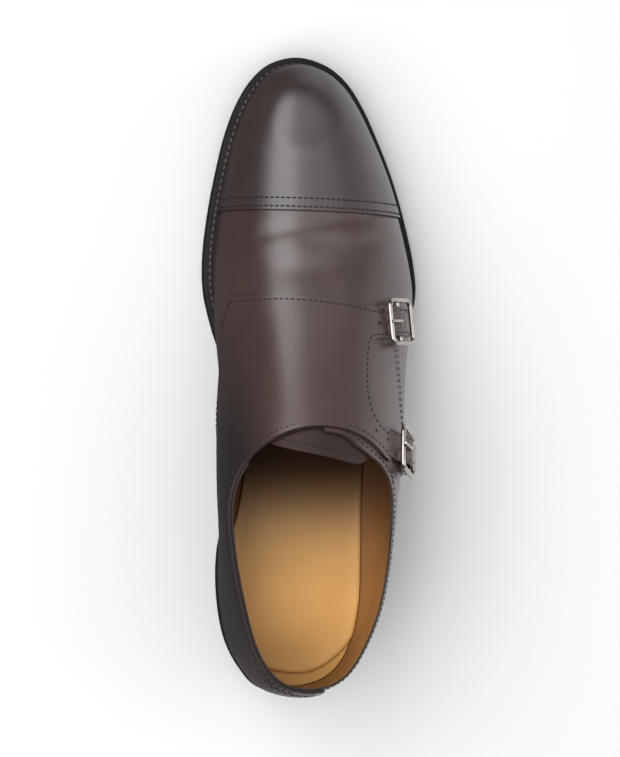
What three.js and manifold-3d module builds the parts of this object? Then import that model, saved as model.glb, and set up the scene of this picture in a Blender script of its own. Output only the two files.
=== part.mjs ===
// A cap toe shoe with two monk straps, for the right foot, at its real size in millimetres.
// +Y points to the toe, +X to the outer (lateral) side and +Z up; the origin is the centre of the
// heel's underside, on the floor. "Forward" below is the distance from the back edge of the sole.

import * as THREE from "three";
import { mergeVertices } from "three/addons/utils/BufferGeometryUtils.js";
import Module from "manifold-3d";

const wasm = await Module();
wasm.setup();

// Sole and heel sizes
const soleLength = 303;
const ballWidth = 103;
const outsoleThickness = 5;
const weltThickness = 3;
const heelHeight = 26;
const topPieceThickness = 6;
const heelBreast = 68;
const archStart = 72;
const heelTaper = 1.6;
const breastHollow = 4;
const toeSpring = 10;
const treadStart = 178;
const treadEnd = 212;
const insoleThickness = 4;

// Upper sizes
const upperWall = 1.8;
const overlayWall = 1.2;
const capWall = 0.9;
const tongueWall = 1.8;
const tongueBase = 60;
const tongueFront = 168;
const lateralFlapBase = 45;
const backStripWidth = 14;
const capEdge = 228;
const capTurn = 1.4;
const instepHeight = 86;
const seatGap = 0.3;
const overlayLift = upperWall + seatGap;

// Buckle sizes, the same for both straps
const strapWidth = 14;
const frameLength = 20;
const frameWidth = 21;
const frameBar = 2.3;
const frameThickness = 2;
const frameLift = 6;
const barRadius = 0.9;
const barLift = 4.8;
const loopRadius = 2;
const ringRadius = 1.65;
const turnGap = 0.3;
const prongWidth = 1.9;
const prongSlot = 2.6;
const stayWidth = 11;
const stayWall = 0.9;

// The sole's outline and the last above it, a row for each section from heel to toe.
// at: share of soleLength. inset: from the sole's edge in to the last, mm.
// medial, lateral: the sole's half width as a share of ballWidth, how far the wall above swells
// outwards, mm, and the share of its height where it swells most.
const sections = [
  { at: 0.013, medial: [0.17, 0.5, 0.3], lateral: [0.152, 0.5, 0.3], inset: 4.2 },
  { at: 0.04, medial: [0.245, 0.8, 0.3], lateral: [0.243, 0.8, 0.3], inset: 4.2 },
  { at: 0.08, medial: [0.31, 0.8, 0.3], lateral: [0.302, 2, 0.27], inset: 4.2 },
  { at: 0.14, medial: [0.35, 0.8, 0.3], lateral: [0.34, 6, 0.28], inset: 4.3 },
  { at: 0.22, medial: [0.355, 4.5, 0.5], lateral: [0.35, 9.5, 0.33], inset: 4.6 },
  { at: 0.31, medial: [0.3, 14.5, 0.56], lateral: [0.36, 12.5, 0.4], inset: 5 },
  { at: 0.41, medial: [0.262, 15.5, 0.44], lateral: [0.398, 14, 0.38], inset: 5 },
  { at: 0.495, medial: [0.291, 11, 0.35], lateral: [0.476, 9, 0.32], inset: 5.5 },
  { at: 0.568, medial: [0.36, 5.4, 0.3], lateral: [0.555, 4.5, 0.3], inset: 6.4 },
  { at: 0.627, medial: [0.402, 1.8, 0.3], lateral: [0.597, 2.5, 0.3], inset: 7 },
  { at: 0.677, medial: [0.408, 1, 0.3], lateral: [0.585, 2, 0.3], inset: 7.3 },
  { at: 0.743, medial: [0.39, 0.6, 0.3], lateral: [0.541, 2, 0.3], inset: 7.4 },
  { at: 0.815, medial: [0.354, 0.5, 0.3], lateral: [0.475, 2, 0.3], inset: 7.4 },
  { at: 0.878, medial: [0.312, 0.5, 0.3], lateral: [0.396, 1.8, 0.3], inset: 7.3 },
  { at: 0.927, medial: [0.26, 0.5, 0.3], lateral: [0.323, 1.5, 0.3], inset: 7.2 },
  { at: 0.963, medial: [0.197, 0.5, 0.3], lateral: [0.247, 1.2, 0.3], inset: 7 },
  { at: 0.988, medial: [0.118, 0.8, 0.3], lateral: [0.15, 1, 0.3], inset: 7 },
];
const toeTipAcross = 1;

// The spine of the last, the line that every section rises to. ridge: its height, share of
// instepHeight. lean: its place across, share of ballWidth. full: the section's exponent, where 2
// is an ellipse and more is squarer.
const spine = [
  { at: 0.1, ridge: 1.46, lean: 0.02, full: 2.15 },
  { at: 0.2, ridge: 1.43, lean: 0.02, full: 2.4 },
  { at: 0.33, ridge: 1.27, lean: 0.015, full: 2.35 },
  { at: 0.422, ridge: 1.1, lean: 0.012, full: 2.25 },
  { at: 0.495, ridge: 0.965, lean: 0.012, full: 2.15 },
  { at: 0.561, ridge: 0.855, lean: 0.015, full: 2.15 },
  { at: 0.627, ridge: 0.756, lean: 0.02, full: 2.1 },
  { at: 0.693, ridge: 0.674, lean: 0.025, full: 2.1 },
  { at: 0.766, ridge: 0.599, lean: 0.03, full: 2.05 },
  { at: 0.825, ridge: 0.547, lean: 0.025, full: 2 },
  { at: 0.88, ridge: 0.5, lean: 0.02, full: 1.95 },
];
const spineFan = 24;

// The collar's line seen from the side: forward, mm, and height above the floor, mm.
const collar = [
  { forward: -30, height: 97 },
  { forward: 4, height: 93.5 },
  { forward: 30, height: 89 },
  { forward: 62, height: 84.5 },
  { forward: 90, height: 83 },
  { forward: 108, height: 85 },
  { forward: 120, height: 90 },
  { forward: 131, height: 99 },
  { forward: 142, height: 114 },
  { forward: 152, height: 134 },
];
const collarRoll = 2.4;
const collarPivot = 85;
const throatEdge = 5;

// Each buckle's bar on the lateral wall: its place, mm, and the strap's slant backwards, degrees.
const buckles = {
  front: { forward: 175.7, height: 50, slant: 0 },
  rear: { forward: 115.5, height: 65, slant: 20 },
};

// The flap in plan: its front seam, the lateral edge between the straps, and its rear bound, mm.
const flapPlan = [
  { across: -70, forward: 189 },
  { across: -27, forward: 187.5 },
  { across: -11, forward: 188.5 },
  { across: 5, forward: 187.5 },
  { across: 21, forward: 185.5 },
  { across: 33, forward: 183.2 },
  { across: 41, forward: buckles.front.forward + strapWidth / 2 },
  { across: 41, forward: buckles.front.forward - strapWidth / 2 },
  { across: 34, forward: buckles.front.forward - strapWidth / 2 - 0.3 },
  { across: 31.5, forward: 166 },
  { across: 30.3, forward: 158 },
  { across: 29.8, forward: 150 },
  { across: 29.8, forward: 143 },
  { across: 31.5, forward: 135 },
  { across: 35, forward: 129 },
  { across: 40, forward: 125 },
  { across: 38, forward: 112 },
  { across: 31, forward: 117 },
  { across: 26, forward: 110 },
  { across: -backStripWidth / 2 - seatGap, forward: 90 },
  { across: -backStripWidth / 2 - seatGap, forward: -20 },
  { across: -70, forward: -20 },
];

// The flap's lower seam on the medial side, seen from the side, mm.
const flapSeam = [
  { forward: 210, height: 62 },
  { forward: 190, height: 45 },
  { forward: 184, height: 40 },
  { forward: 172, height: 36.5 },
  { forward: 145, height: 38 },
  { forward: 122, height: 40 },
  { forward: 106, height: 39 },
  { forward: 95, height: 35.5 },
  { forward: 86, height: 28 },
  { forward: 81, height: 14 },
];

// The lateral quarter's topline seen from the side, mm: it leaves the collar and runs under the flap.
const quarterLine = [
  ...collar.slice(0, 4),
  { forward: 80, height: 82.8 },
  { forward: 93, height: 82 },
  { forward: 101, height: 83.2 },
  { forward: 109.3, height: 87.7 },
  { forward: 114, height: 91.3 },
  { forward: 118.6, height: 93.7 },
  { forward: 125, height: 95.4 },
  { forward: 136, height: 108.4 },
];

// The tongue in plan, mm: it reaches further back than the flap.
const tonguePlan = [
  { across: -25, forward: tongueFront },
  { across: 25, forward: tongueFront },
  { across: 27, forward: 117 },
  { across: 25.4, forward: 112.6 },
  { across: 21.5, forward: 111 },
  { across: 15, forward: 112.1 },
  { across: 4.5, forward: 114.7 },
  { across: -10.7, forward: 117.7 },
  { across: -19, forward: 120 },
  { across: -27, forward: 123.4 },
  { across: -33, forward: 127 },
];

// A strap's end, from the flap over the bar: along, mm from the bar, lift off the last, width.
const strapRun = [
  { along: -22, lift: 2.15, width: 1 },
  { along: -17, lift: 2.1, width: 1 },
  { along: -13, lift: 2.15, width: 1 },
  { along: -10, lift: 2.3, width: 1 },
  { along: -8, lift: 2.8, width: 1 },
  { along: -6, lift: 3.8, width: 1 },
  { along: -4, lift: 5.2, width: 1 },
  { along: -2, lift: 6.6, width: 1 },
  { along: 0, lift: 7.2, width: 1 },
  { along: 2, lift: 6.7, width: 1 },
  { along: 4, lift: 5.3, width: 1 },
  { along: 6, lift: 4, width: 1 },
  { along: 8, lift: 3.6, width: 1 },
  { along: 11, lift: 3.6, width: 1 },
  { along: 13, lift: 3.6, width: 0.88 },
  { along: 14, lift: 3.6, width: 0.5 },
];
const stayRun = [
  { along: -3.5, lift: 2.3, width: 1 },
  { along: 0, lift: 2.3, width: 1 },
  { along: 6, lift: 2.3, width: 1 },
  { along: 12, lift: 2.3, width: 1 },
  { along: 18, lift: 2.3, width: 1 },
  { along: 20, lift: 2.3, width: 0.8 },
];

// The prong seen from its side, from its ring up through the strap and over the frame, mm.
const prongSide = [
  { along: 0.8, rise: 6.1 },
  { along: -1, rise: 7.8 },
  { along: -3.2, rise: 9.3 },
  { along: -7, rise: 8.9 },
  { along: -12.4, rise: 8.7 },
  { along: -12.8, rise: 8.1 },
  { along: -12.3, rise: 7.4 },
  { along: -7, rise: 7.4 },
  { along: -4.2, rise: 7.6 },
  { along: -1.5, rise: 5 },
];

// Mesh densities
const stationCount = 34;
const ringCount = 11;

// A smooth curve through one column of a table, against its "at" column.
function curveOf(rows, pick) {
  const at = rows.map((row) => row.at);
  const value = rows.map(pick);
  const slope = (i) => {
    const before = Math.max(i - 1, 0);
    const after = Math.min(i + 1, at.length - 1);
    return (value[after] - value[before]) / (at[after] - at[before]);
  };
  return (share) => {
    if (share <= at[0]) return value[0];
    if (share >= at[at.length - 1]) return value[at.length - 1];
    const i = at.findIndex((a) => a > share) - 1;
    const span = at[i + 1] - at[i];
    const t = (share - at[i]) / span;
    const rise = value[i + 1] - value[i];
    const a = slope(i) * span - rise;
    const b = rise - slope(i + 1) * span;
    return value[i] + t * rise + t * (1 - t) * ((1 - t) * a + t * b);
  };
}

// The sole's outline, a closed curve in plan, from the heel's back round the medial side.
const sideRows = (side) =>
  sections.map((row) => {
    const across = side === "medial" ? -row.medial[0] : row.lateral[0];
    return new THREE.Vector3(across * ballWidth, row.at * soleLength, 0);
  });
const outline = new THREE.CatmullRomCurve3(
  [
    new THREE.Vector3(0, 0, 0),
    ...sideRows("medial"),
    new THREE.Vector3(toeTipAcross, soleLength, 0),
    ...sideRows("lateral").reverse(),
  ],
  true,
  "centripetal",
);

const outlineSamples = 1200;
const outlineTable = Array.from({ length: outlineSamples + 1 }, (_, i) => {
  const u = i / outlineSamples;
  return { u, forward: outline.getPoint(u % 1).y };
});
const toeSample = outlineTable.reduce((best, row) => (row.forward > best.forward ? row : best));

// The place along the outline, 0 to 1, of a point of one side that far forward.
function placeOnOutline(side, forward) {
  const rows =
    side === "medial"
      ? outlineTable.filter((row) => row.u <= toeSample.u)
      : outlineTable.filter((row) => row.u >= toeSample.u).reverse();
  const i = Math.max(1, rows.findIndex((row) => row.forward >= forward));
  const [a, b] = [rows[i - 1], rows[i]];
  const t = (forward - a.forward) / (b.forward - a.forward);
  return a.u + (b.u - a.u) * Math.min(Math.max(t, 0), 1);
}

// Stations crowd towards both ends, where the outline turns.
const stations = Array.from({ length: stationCount + 1 }, (_, i) => {
  return (soleLength / 2) * (1 - Math.cos((Math.PI * i) / stationCount));
});
const loopPlaces = [
  0,
  ...stations.slice(1, -1).map((forward) => placeOnOutline("medial", forward)),
  toeSample.u,
  ...stations.slice(1, -1).reverse().map((forward) => placeOnOutline("lateral", forward)),
];

const insetAt = curveOf(sections, (row) => row.inset);
const swellAt = {
  medial: curveOf(sections, (row) => row.medial[1]),
  lateral: curveOf(sections, (row) => row.lateral[1]),
};
const swellHeightAt = {
  medial: curveOf(sections, (row) => row.medial[2]),
  lateral: curveOf(sections, (row) => row.lateral[2]),
};
const ridgeAt = curveOf(spine, (row) => row.ridge);
const leanAt = curveOf(spine, (row) => row.lean);
const fullAt = curveOf(spine, (row) => row.full);

// A point of the sole's outline with its outward direction in plan.
function edgePoint(u) {
  const point = outline.getPoint(((u % 1) + 1) % 1);
  const tangent = outline.getTangent(((u % 1) + 1) % 1);
  return { point, outward: new THREE.Vector3(-tangent.y, tangent.x, 0).normalize() };
}

// The underside of the outsole: level under the heel and the ball, arched between, sprung at the toe.
function underside(forward) {
  if (forward <= archStart) return heelHeight;
  if (forward < treadStart) {
    const t = (forward - archStart) / (treadStart - archStart);
    return (heelHeight * (1 + Math.cos(Math.PI * t))) / 2;
  }
  if (forward <= treadEnd) return 0;
  return toeSpring * ((forward - treadEnd) / (soleLength - treadEnd)) ** 1.7;
}
const outsoleTop = (forward) => underside(forward) + outsoleThickness;
const weltTop = (forward) => outsoleTop(forward) + seatGap + weltThickness;
const featherLine = (forward) => weltTop(forward) + seatGap;

// How steeply the spine rises or falls there, so that the toe carries its slope on.
function ridgeSlope(share) {
  const behind = Math.max(share - 0.01, spine[0].at);
  const before = Math.min(share + 0.01, spine[spine.length - 1].at);
  const rise = (ridgeAt(before) - ridgeAt(behind)) * instepHeight;
  return rise / ((before - behind) * soleLength);
}

// Holds a value between two limits, turning smoothly into each.
function softClamp(value, low, high, reach) {
  if (value < low + reach) return low + Math.max(value - low + reach, 0) ** 2 / (4 * reach);
  if (value > high - reach) return high - Math.max(high - value + reach, 0) ** 2 / (4 * reach);
  return value;
}

// The last's surface: u runs round the outline, v from the feather line (0) to the spine (1).
function lastPoint(u, v) {
  const edge = edgePoint(u);
  const share = edge.point.y / soleLength;
  const foot = edge.point.clone().addScaledVector(edge.outward, -insetAt(share));
  const first = spine[0].at * soleLength;
  const last = spine[spine.length - 1].at * soleLength;
  const spineForward = softClamp(foot.y, first, last, spineFan);
  const spineShare = spineForward / soleLength;
  const top = new THREE.Vector3(leanAt(spineShare) * ballWidth, spineForward, 0);
  const power = 2 / fullAt(spineShare);
  const angle = (v * Math.PI) / 2;
  const inward = 1 - Math.cos(angle) ** power;
  const rise = Math.sin(angle) ** power;
  const side = edge.point.x < 0 ? "medial" : "lateral";
  const swell = rise ** (Math.log(0.5) / Math.log(swellHeightAt[side](share)));
  const point = foot.clone().lerp(top, inward);
  point.addScaledVector(edge.outward, swellAt[side](share) * 4 * swell * (1 - swell));
  const base = featherLine(foot.y);
  point.z = base + (ridgeAt(spineShare) * instepHeight - base) * rise;
  const ahead = Math.max(foot.y - spineForward, 0) * (1 - inward);
  point.z += ridgeSlope(spineShare) * ahead * rise ** 3;
  return point;
}

// The last's surface moved outwards by "grow", with its outward normal.
function surface(u, v, grow = 0) {
  const point = lastPoint(u, v);
  const normal = edgePoint(u).outward;
  if (v > 0) {
    const along = lastPoint(u + 0.002, v).sub(lastPoint(u - 0.002, v));
    const up = lastPoint(u, Math.min(v + 0.01, 0.99)).sub(lastPoint(u, v - 0.01));
    normal.copy(along.cross(up).negate().normalize());
  }
  point.addScaledVector(normal, grow);
  if (v === 0) point.z = featherLine(point.y);
  return { point, normal };
}

// A closed solid through a stack of rings, each an even loop, its ends closed by rungs across it.
function skin(rings) {
  const count = rings[0].length;
  const half = count / 2;
  const faces = [];
  for (let ring = 0; ring + 1 < rings.length; ring++) {
    for (let i = 0; i < count; i++) {
      const a = ring * count + i;
      const b = ring * count + ((i + 1) % count);
      faces.push([a, b + count, b], [a, a + count, b + count]);
    }
  }
  const top = (rings.length - 1) * count;
  for (let i = 0; i < half; i++) {
    const [m, mNext] = [i, i + 1];
    const [l, lNext] = [(count - i) % count, count - i - 1];
    if (m !== l) faces.push([m, lNext, l], [top + m, top + l, top + lNext]);
    if (mNext !== lNext) faces.push([m, mNext, lNext], [top + m, top + lNext, top + mNext]);
  }
  const geometry = new THREE.BufferGeometry().setFromPoints(rings.flat());
  geometry.setIndex(faces.flat());
  return solidOf(geometry);
}

// A three.js geometry as a solid that manifold-3d can cut and join.
function solidOf(geometry) {
  const bare = new THREE.BufferGeometry();
  bare.setAttribute("position", geometry.getAttribute("position"));
  if (geometry.index) bare.setIndex(geometry.index);
  const merged = mergeVertices(bare, 1e-4);
  return new wasm.Manifold(
    new wasm.Mesh({
      numProp: 3,
      vertProperties: Float32Array.from(merged.attributes.position.array),
      triVerts: Uint32Array.from(merged.index.array),
    }),
  );
}

// The last grown outwards, as a solid from the feather line up, or from lower by "drop".
function form(grow, drop = 0) {
  const rings = Array.from({ length: ringCount }, (_, ring) => {
    return loopPlaces.map((u) => surface(u, ring / (ringCount - 0.5), grow).point);
  });
  if (drop > 0) {
    rings.unshift(rings[0].map((p) => p.clone().setZ(p.z - drop)));
  }
  return skin(rings);
}

// A sheet of leather on the last: its inside is "lift" off the last, its thickness "wall".
function sheet(lift, wall) {
  return form(lift + wall).subtract(form(lift, 5));
}

// A slab that follows the sole's outline: each level has an inset, mm, and a height of forward.
function slab(levels) {
  const rings = levels.map(({ inset, height }) =>
    loopPlaces.map((u) => {
      const { point, outward } = edgePoint(u);
      const share = point.y / soleLength;
      const moved = point.clone().addScaledVector(outward, -inset(share));
      return moved.setZ(height(moved.y));
    }),
  );
  return skin(rings);
}

// A prism that stands on a shape in plan, from a base height up.
function planPrism(points, base = 0) {
  const shape = new THREE.Shape(points.map((p) => new THREE.Vector2(p.across, p.forward)));
  const prism = new THREE.ExtrudeGeometry(shape, { depth: 200, bevelEnabled: false });
  return solidOf(prism.translate(0, 0, base));
}

// A prism that lies across the shoe, from its outline seen from the side.
function sidePrism(points, from, to) {
  const shape = new THREE.Shape(points.map((p) => new THREE.Vector2(p.forward, p.height)));
  const geometry = new THREE.ExtrudeGeometry(shape, { depth: to - from, bevelEnabled: false });
  const turn = new THREE.Matrix4().makeBasis(
    new THREE.Vector3(0, 1, 0),
    new THREE.Vector3(0, 0, 1),
    new THREE.Vector3(1, 0, 0),
  );
  geometry.applyMatrix4(turn);
  geometry.translate(from, 0, 0);
  return geometry;
}

function smooth(points, samples) {
  const curve = new THREE.SplineCurve(points.map((p) => new THREE.Vector2(p.forward, p.height)));
  return curve.getPoints(samples).map((p) => ({ forward: p.x, height: p.y }));
}

// What is cut away above a collar line, a little lower on the lateral side.
function collarCutter({ shift = 0, from = -100, to = 100, line = collar } = {}) {
  const points = smooth(line, 34);
  const front = line[line.length - 1].forward;
  points.push({ forward: front, height: 220 }, { forward: -30, height: 220 });
  const geometry = sidePrism(points, from, to);
  geometry.translate(0, shift, -collarPivot);
  geometry.rotateY(THREE.MathUtils.degToRad(collarRoll));
  geometry.translate(0, 0, collarPivot);
  return solidOf(geometry);
}

function outsole() {
  return slab([
    { inset: () => 1, height: underside },
    { inset: () => 0, height: (f) => underside(f) + 1.2 },
    { inset: () => 0, height: outsoleTop },
  ]);
}

function welt() {
  const outer = slab([
    { inset: () => 0.3, height: (f) => outsoleTop(f) + seatGap },
    { inset: () => 0.3, height: (f) => weltTop(f) - 0.6 },
    { inset: () => 0.9, height: weltTop },
  ]);
  const hole = slab([
    { inset: insetAt, height: (f) => outsoleTop(f) - 4 },
    { inset: insetAt, height: (f) => weltTop(f) + 4 },
  ]);
  return outer.subtract(hole);
}

function insole() {
  const inset = (share) => insetAt(share) + seatGap;
  return slab([
    { inset, height: (f) => outsoleTop(f) + seatGap },
    { inset, height: (f) => outsoleTop(f) + seatGap + insoleThickness },
  ]);
}

// A block of the heel between two levels, with the hollow face at its front.
function heelBlock(bottom, top, bottomInset, topInset) {
  const block = slab([
    { inset: () => bottomInset, height: () => bottom },
    { inset: () => topInset, height: () => top },
  ]);
  const plan = new THREE.Shape();
  plan.moveTo(-ballWidth, -20);
  plan.lineTo(ballWidth, -20);
  plan.lineTo(ballWidth / 2, heelBreast);
  plan.quadraticCurveTo(0, heelBreast - 2 * breastHollow, -ballWidth / 2, heelBreast);
  plan.closePath();
  return block.intersect(solidOf(new THREE.ExtrudeGeometry(plan, { depth: 60, bevelEnabled: false })));
}

// The vamp and quarters in one wall. Under the flap the throat is cut further forward, and the
// lateral quarter keeps its own edge.
function upper() {
  return sheet(0, upperWall)
    .subtract(collarCutter({ to: throatEdge }))
    .subtract(collarCutter({ shift: 6, from: -28, to: throatEdge }))
    .subtract(collarCutter({ from: throatEdge - 0.1, line: quarterLine }));
}

// What lies ahead of the cap's straight edge.
function toeCap() {
  const block = new THREE.BoxGeometry(200, 120, 200);
  block.translate(0, capEdge + 60, 50);
  block.rotateZ(THREE.MathUtils.degToRad(-capTurn));
  return sheet(overlayLift, capWall).intersect(solidOf(block));
}

// The place on the lateral wall that is so far forward and so high, with the wall's direction.
function onWall(forward, height) {
  let u = placeOnOutline("lateral", forward);
  let v = 0.35;
  const step = 0.001;
  for (let turn = 0; turn < 9; turn++) {
    const here = lastPoint(u, v);
    const du = lastPoint(u + step, v).sub(here).divideScalar(step);
    const dv = lastPoint(u, v + step).sub(here).divideScalar(step);
    const ahead = forward - here.y;
    const above = height - here.z;
    const scale = du.y * dv.z - dv.y * du.z;
    u += (ahead * dv.z - dv.y * above) / scale;
    v = Math.min(Math.max(v + (du.y * above - ahead * du.z) / scale, 0.02), 0.92);
  }
  return surface(u, v);
}

// Which way a strap runs down the wall, leaning back by its slant.
function strapDirection(normal, slant) {
  const down = new THREE.Vector3(0, 1, 0).cross(normal).normalize();
  return down.applyAxisAngle(normal, -THREE.MathUtils.degToRad(slant));
}

// Walks over the last from a buckle's bar along its strap: positive is down the wall.
function walk(buckle, distance) {
  const steps = Math.max(1, Math.ceil(Math.abs(distance) / 3));
  let here = onWall(buckle.forward, buckle.height);
  for (let i = 0; i < steps; i++) {
    const along = strapDirection(here.normal, buckle.slant);
    const next = here.point.clone().addScaledVector(along, distance / steps);
    here = onWall(next.y, next.z);
  }
  return here;
}

// A band of leather along a run of stations, with slightly eased upper edges.
function band(buckle, run, width, wall) {
  const ease = 0.35;
  const places = run.map((station) => ({ ...station, ...walk(buckle, station.along) }));
  const rings = places.map((place) => {
    const along = strapDirection(place.normal, buckle.slant);
    const side = place.normal.clone().cross(along).normalize();
    const half = (width / 2) * place.width;
    const corners = [
      [-half, 0],
      [-half, wall - ease],
      [ease - half, wall],
      [half - ease, wall],
      [half, wall - ease],
      [half, 0],
    ];
    return corners.map(([across, rise]) => {
      const point = place.point.clone().addScaledVector(side, across);
      return point.addScaledVector(place.normal, place.lift + rise);
    });
  });
  return skin(rings);
}

// Moves a shape from a buckle's own axes (along the strap, across it, off the wall) to the wall.
function onBuckle(buckle, geometry) {
  const { point, normal } = onWall(buckle.forward, buckle.height);
  const along = strapDirection(normal, buckle.slant);
  const side = normal.clone().cross(along).normalize();
  const frame = new THREE.Matrix4().makeBasis(along, side, normal).setPosition(point);
  return solidOf(geometry.applyMatrix4(frame));
}

function boxAt(length, width, depth, along, rise) {
  return new THREE.BoxGeometry(length, width, depth).translate(along, 0, rise);
}

function roundedRectangle(shape, length, width, radius) {
  const [x, y] = [length / 2, width / 2];
  shape.moveTo(-x + radius, -y);
  shape.lineTo(x - radius, -y);
  shape.absarc(x - radius, -y + radius, radius, -Math.PI / 2, 0);
  shape.lineTo(x, y - radius);
  shape.absarc(x - radius, y - radius, radius, 0, Math.PI / 2);
  shape.lineTo(-x + radius, y);
  shape.absarc(-x + radius, y - radius, radius, Math.PI / 2, Math.PI);
  shape.lineTo(-x, -y + radius);
  shape.absarc(-x + radius, -y + radius, radius, Math.PI, 1.5 * Math.PI);
  return shape;
}

// A cylinder or tube that lies across the strap, at the height of the buckle's bar.
function acrossBar(radius, length) {
  return new THREE.CylinderGeometry(radius, radius, length, 14).translate(0, 0, barLift);
}

// The buckle's frame with its centre bar.
function buckleFrame(buckle) {
  const bevel = 0.5;
  const outline = roundedRectangle(
    new THREE.Shape(),
    frameLength - 2 * bevel,
    frameWidth - 2 * bevel,
    3,
  );
  const windowLength = frameLength - 2 * frameBar + 2 * bevel;
  const windowWidth = frameWidth - 2 * frameBar + 2 * bevel;
  outline.holes.push(roundedRectangle(new THREE.Path(), windowLength, windowWidth, 1.6));
  const frame = new THREE.ExtrudeGeometry(outline, {
    depth: frameThickness - 2 * bevel,
    bevelSize: bevel,
    bevelThickness: bevel,
    bevelSegments: 1,
    curveSegments: 3,
  });
  frame.translate(0, 0, frameLift - frameThickness / 2 + bevel);
  const bar = acrossBar(barRadius, frameWidth - frameBar);
  return onBuckle(buckle, frame).add(onBuckle(buckle, bar));
}

// The prong: a ring that turns on the bar, and a tongue through the strap over the frame.
function prong(buckle) {
  const ring = acrossBar(ringRadius, prongWidth);
  const side = new THREE.Shape(prongSide.map((p) => new THREE.Vector2(p.along, p.rise)));
  const tongue = new THREE.ExtrudeGeometry(side, { depth: prongWidth, bevelEnabled: false });
  tongue.translate(0, 0, -prongWidth / 2).rotateX(Math.PI / 2);
  const whole = onBuckle(buckle, ring).add(onBuckle(buckle, tongue));
  return whole.subtract(onBuckle(buckle, acrossBar(barRadius + turnGap, 30)));
}

// The stay: a strip sewn to the quarter with a loop round the bar, split for the prong.
function stay(buckle) {
  const loop = onBuckle(buckle, acrossBar(loopRadius, stayWidth));
  const splitFoot = barLift - ringRadius - turnGap;
  const split = onBuckle(buckle, boxAt(9, prongSlot, 6, 0, splitFoot + 3));
  const whole = band(buckle, stayRun, stayWidth, stayWall).add(loop).subtract(split);
  return whole.subtract(onBuckle(buckle, acrossBar(barRadius + turnGap, 30)));
}

function strapEnd(buckle) {
  const hole = onBuckle(buckle, boxAt(6, prongSlot, 12, -2.6, 8));
  return band(buckle, strapRun, strapWidth, overlayWall).subtract(hole);
}

// The medial quarter, which crosses the instep and ends in the two straps.
function flap() {
  const seam = smooth(flapSeam, 30);
  seam.push({ forward: 81, height: 0 }, { forward: 210, height: 0 });
  const lowWall = new THREE.BoxGeometry(100, 400, 2 * lateralFlapBase).translate(50, 150, 0);
  return sheet(overlayLift, overlayWall)
    .intersect(planPrism(flapPlan))
    .subtract(solidOf(lowWall))
    .subtract(solidOf(sidePrism(seam, -100, 0)))
    .subtract(collarCutter())
    .add(strapEnd(buckles.front))
    .add(strapEnd(buckles.rear));
}

function backStrip() {
  const strip = new THREE.BoxGeometry(backStripWidth, 60, 200).translate(0, 0, 50);
  return sheet(overlayLift, overlayWall).intersect(solidOf(strip)).subtract(collarCutter());
}

function tongue() {
  return sheet(-seatGap - tongueWall, tongueWall).intersect(planPrism(tonguePlan, tongueBase));
}

const materials = {
  leather: new THREE.MeshStandardMaterial({ color: 0x3d2c2a, roughness: 0.3, metalness: 0 }),
  cap: new THREE.MeshStandardMaterial({ color: 0x352624, roughness: 0.25, metalness: 0 }),
  sole: new THREE.MeshStandardMaterial({ color: 0x1a1716, roughness: 0.5, metalness: 0 }),
  rubber: new THREE.MeshStandardMaterial({ color: 0x141212, roughness: 0.8, metalness: 0 }),
  lining: new THREE.MeshStandardMaterial({ color: 0xc28b4f, roughness: 0.5, metalness: 0 }),
  metal: new THREE.MeshStandardMaterial({ color: 0x8d8884, roughness: 0.25, metalness: 1 }),
};

const shoe = new THREE.Group();
shoe.position.set(0, -heelBreast / 2, 0);

function add(name, solid, material) {
  const mesh = solid.getMesh();
  const geometry = new THREE.BufferGeometry();
  geometry.setAttribute("position", new THREE.BufferAttribute(mesh.vertProperties, 3));
  geometry.setIndex(new THREE.BufferAttribute(mesh.triVerts, 1));
  geometry.computeVertexNormals();
  const piece = new THREE.Mesh(geometry, materials[material]);
  piece.name = name;
  shoe.add(piece);
}

add("outsole", outsole(), "sole");
add("heel", heelBlock(topPieceThickness, heelHeight, 1 + heelTaper, 1), "sole");
add("heel_top_piece", heelBlock(0, topPieceThickness, 1.5 + heelTaper, 1 + heelTaper), "rubber");
add("welt", welt(), "sole");
add("insole", insole(), "lining");
add("upper", upper(), "leather");
add("tongue", tongue(), "leather");
add("toe_cap", toeCap(), "cap");
add("strap_flap", flap(), "leather");
add("back_strip", backStrip(), "leather");
for (const [place, buckle] of Object.entries(buckles)) {
  add(`${place}_buckle_frame`, buckleFrame(buckle), "metal");
  add(`${place}_buckle_prong`, prong(buckle), "metal");
  add(`${place}_buckle_stay`, stay(buckle), "leather");
}

export default shoe;
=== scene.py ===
# %% [markdown]
# A polished leather shoe for the right foot, with a cap toe and two buckled straps, seen from above.
# Its sizes are settled already: the CAD frame holds one plain solid for every piece. Loading that
# frame first gives each new piece a place to lie in.

# %% Load the frame
import math

import bpy
import numpy as np
from mathutils import Matrix, Vector


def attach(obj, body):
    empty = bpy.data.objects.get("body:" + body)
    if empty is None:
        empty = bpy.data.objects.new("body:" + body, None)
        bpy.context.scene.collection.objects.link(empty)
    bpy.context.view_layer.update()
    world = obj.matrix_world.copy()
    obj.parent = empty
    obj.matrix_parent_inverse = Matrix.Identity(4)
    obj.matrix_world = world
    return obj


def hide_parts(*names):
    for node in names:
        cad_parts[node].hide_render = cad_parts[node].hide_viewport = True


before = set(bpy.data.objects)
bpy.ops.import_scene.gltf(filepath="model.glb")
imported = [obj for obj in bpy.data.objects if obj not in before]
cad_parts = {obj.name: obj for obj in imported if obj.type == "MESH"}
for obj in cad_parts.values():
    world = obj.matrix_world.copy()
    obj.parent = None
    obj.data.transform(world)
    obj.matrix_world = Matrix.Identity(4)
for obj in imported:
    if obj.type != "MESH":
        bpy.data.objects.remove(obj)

scene = bpy.context.scene
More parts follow.
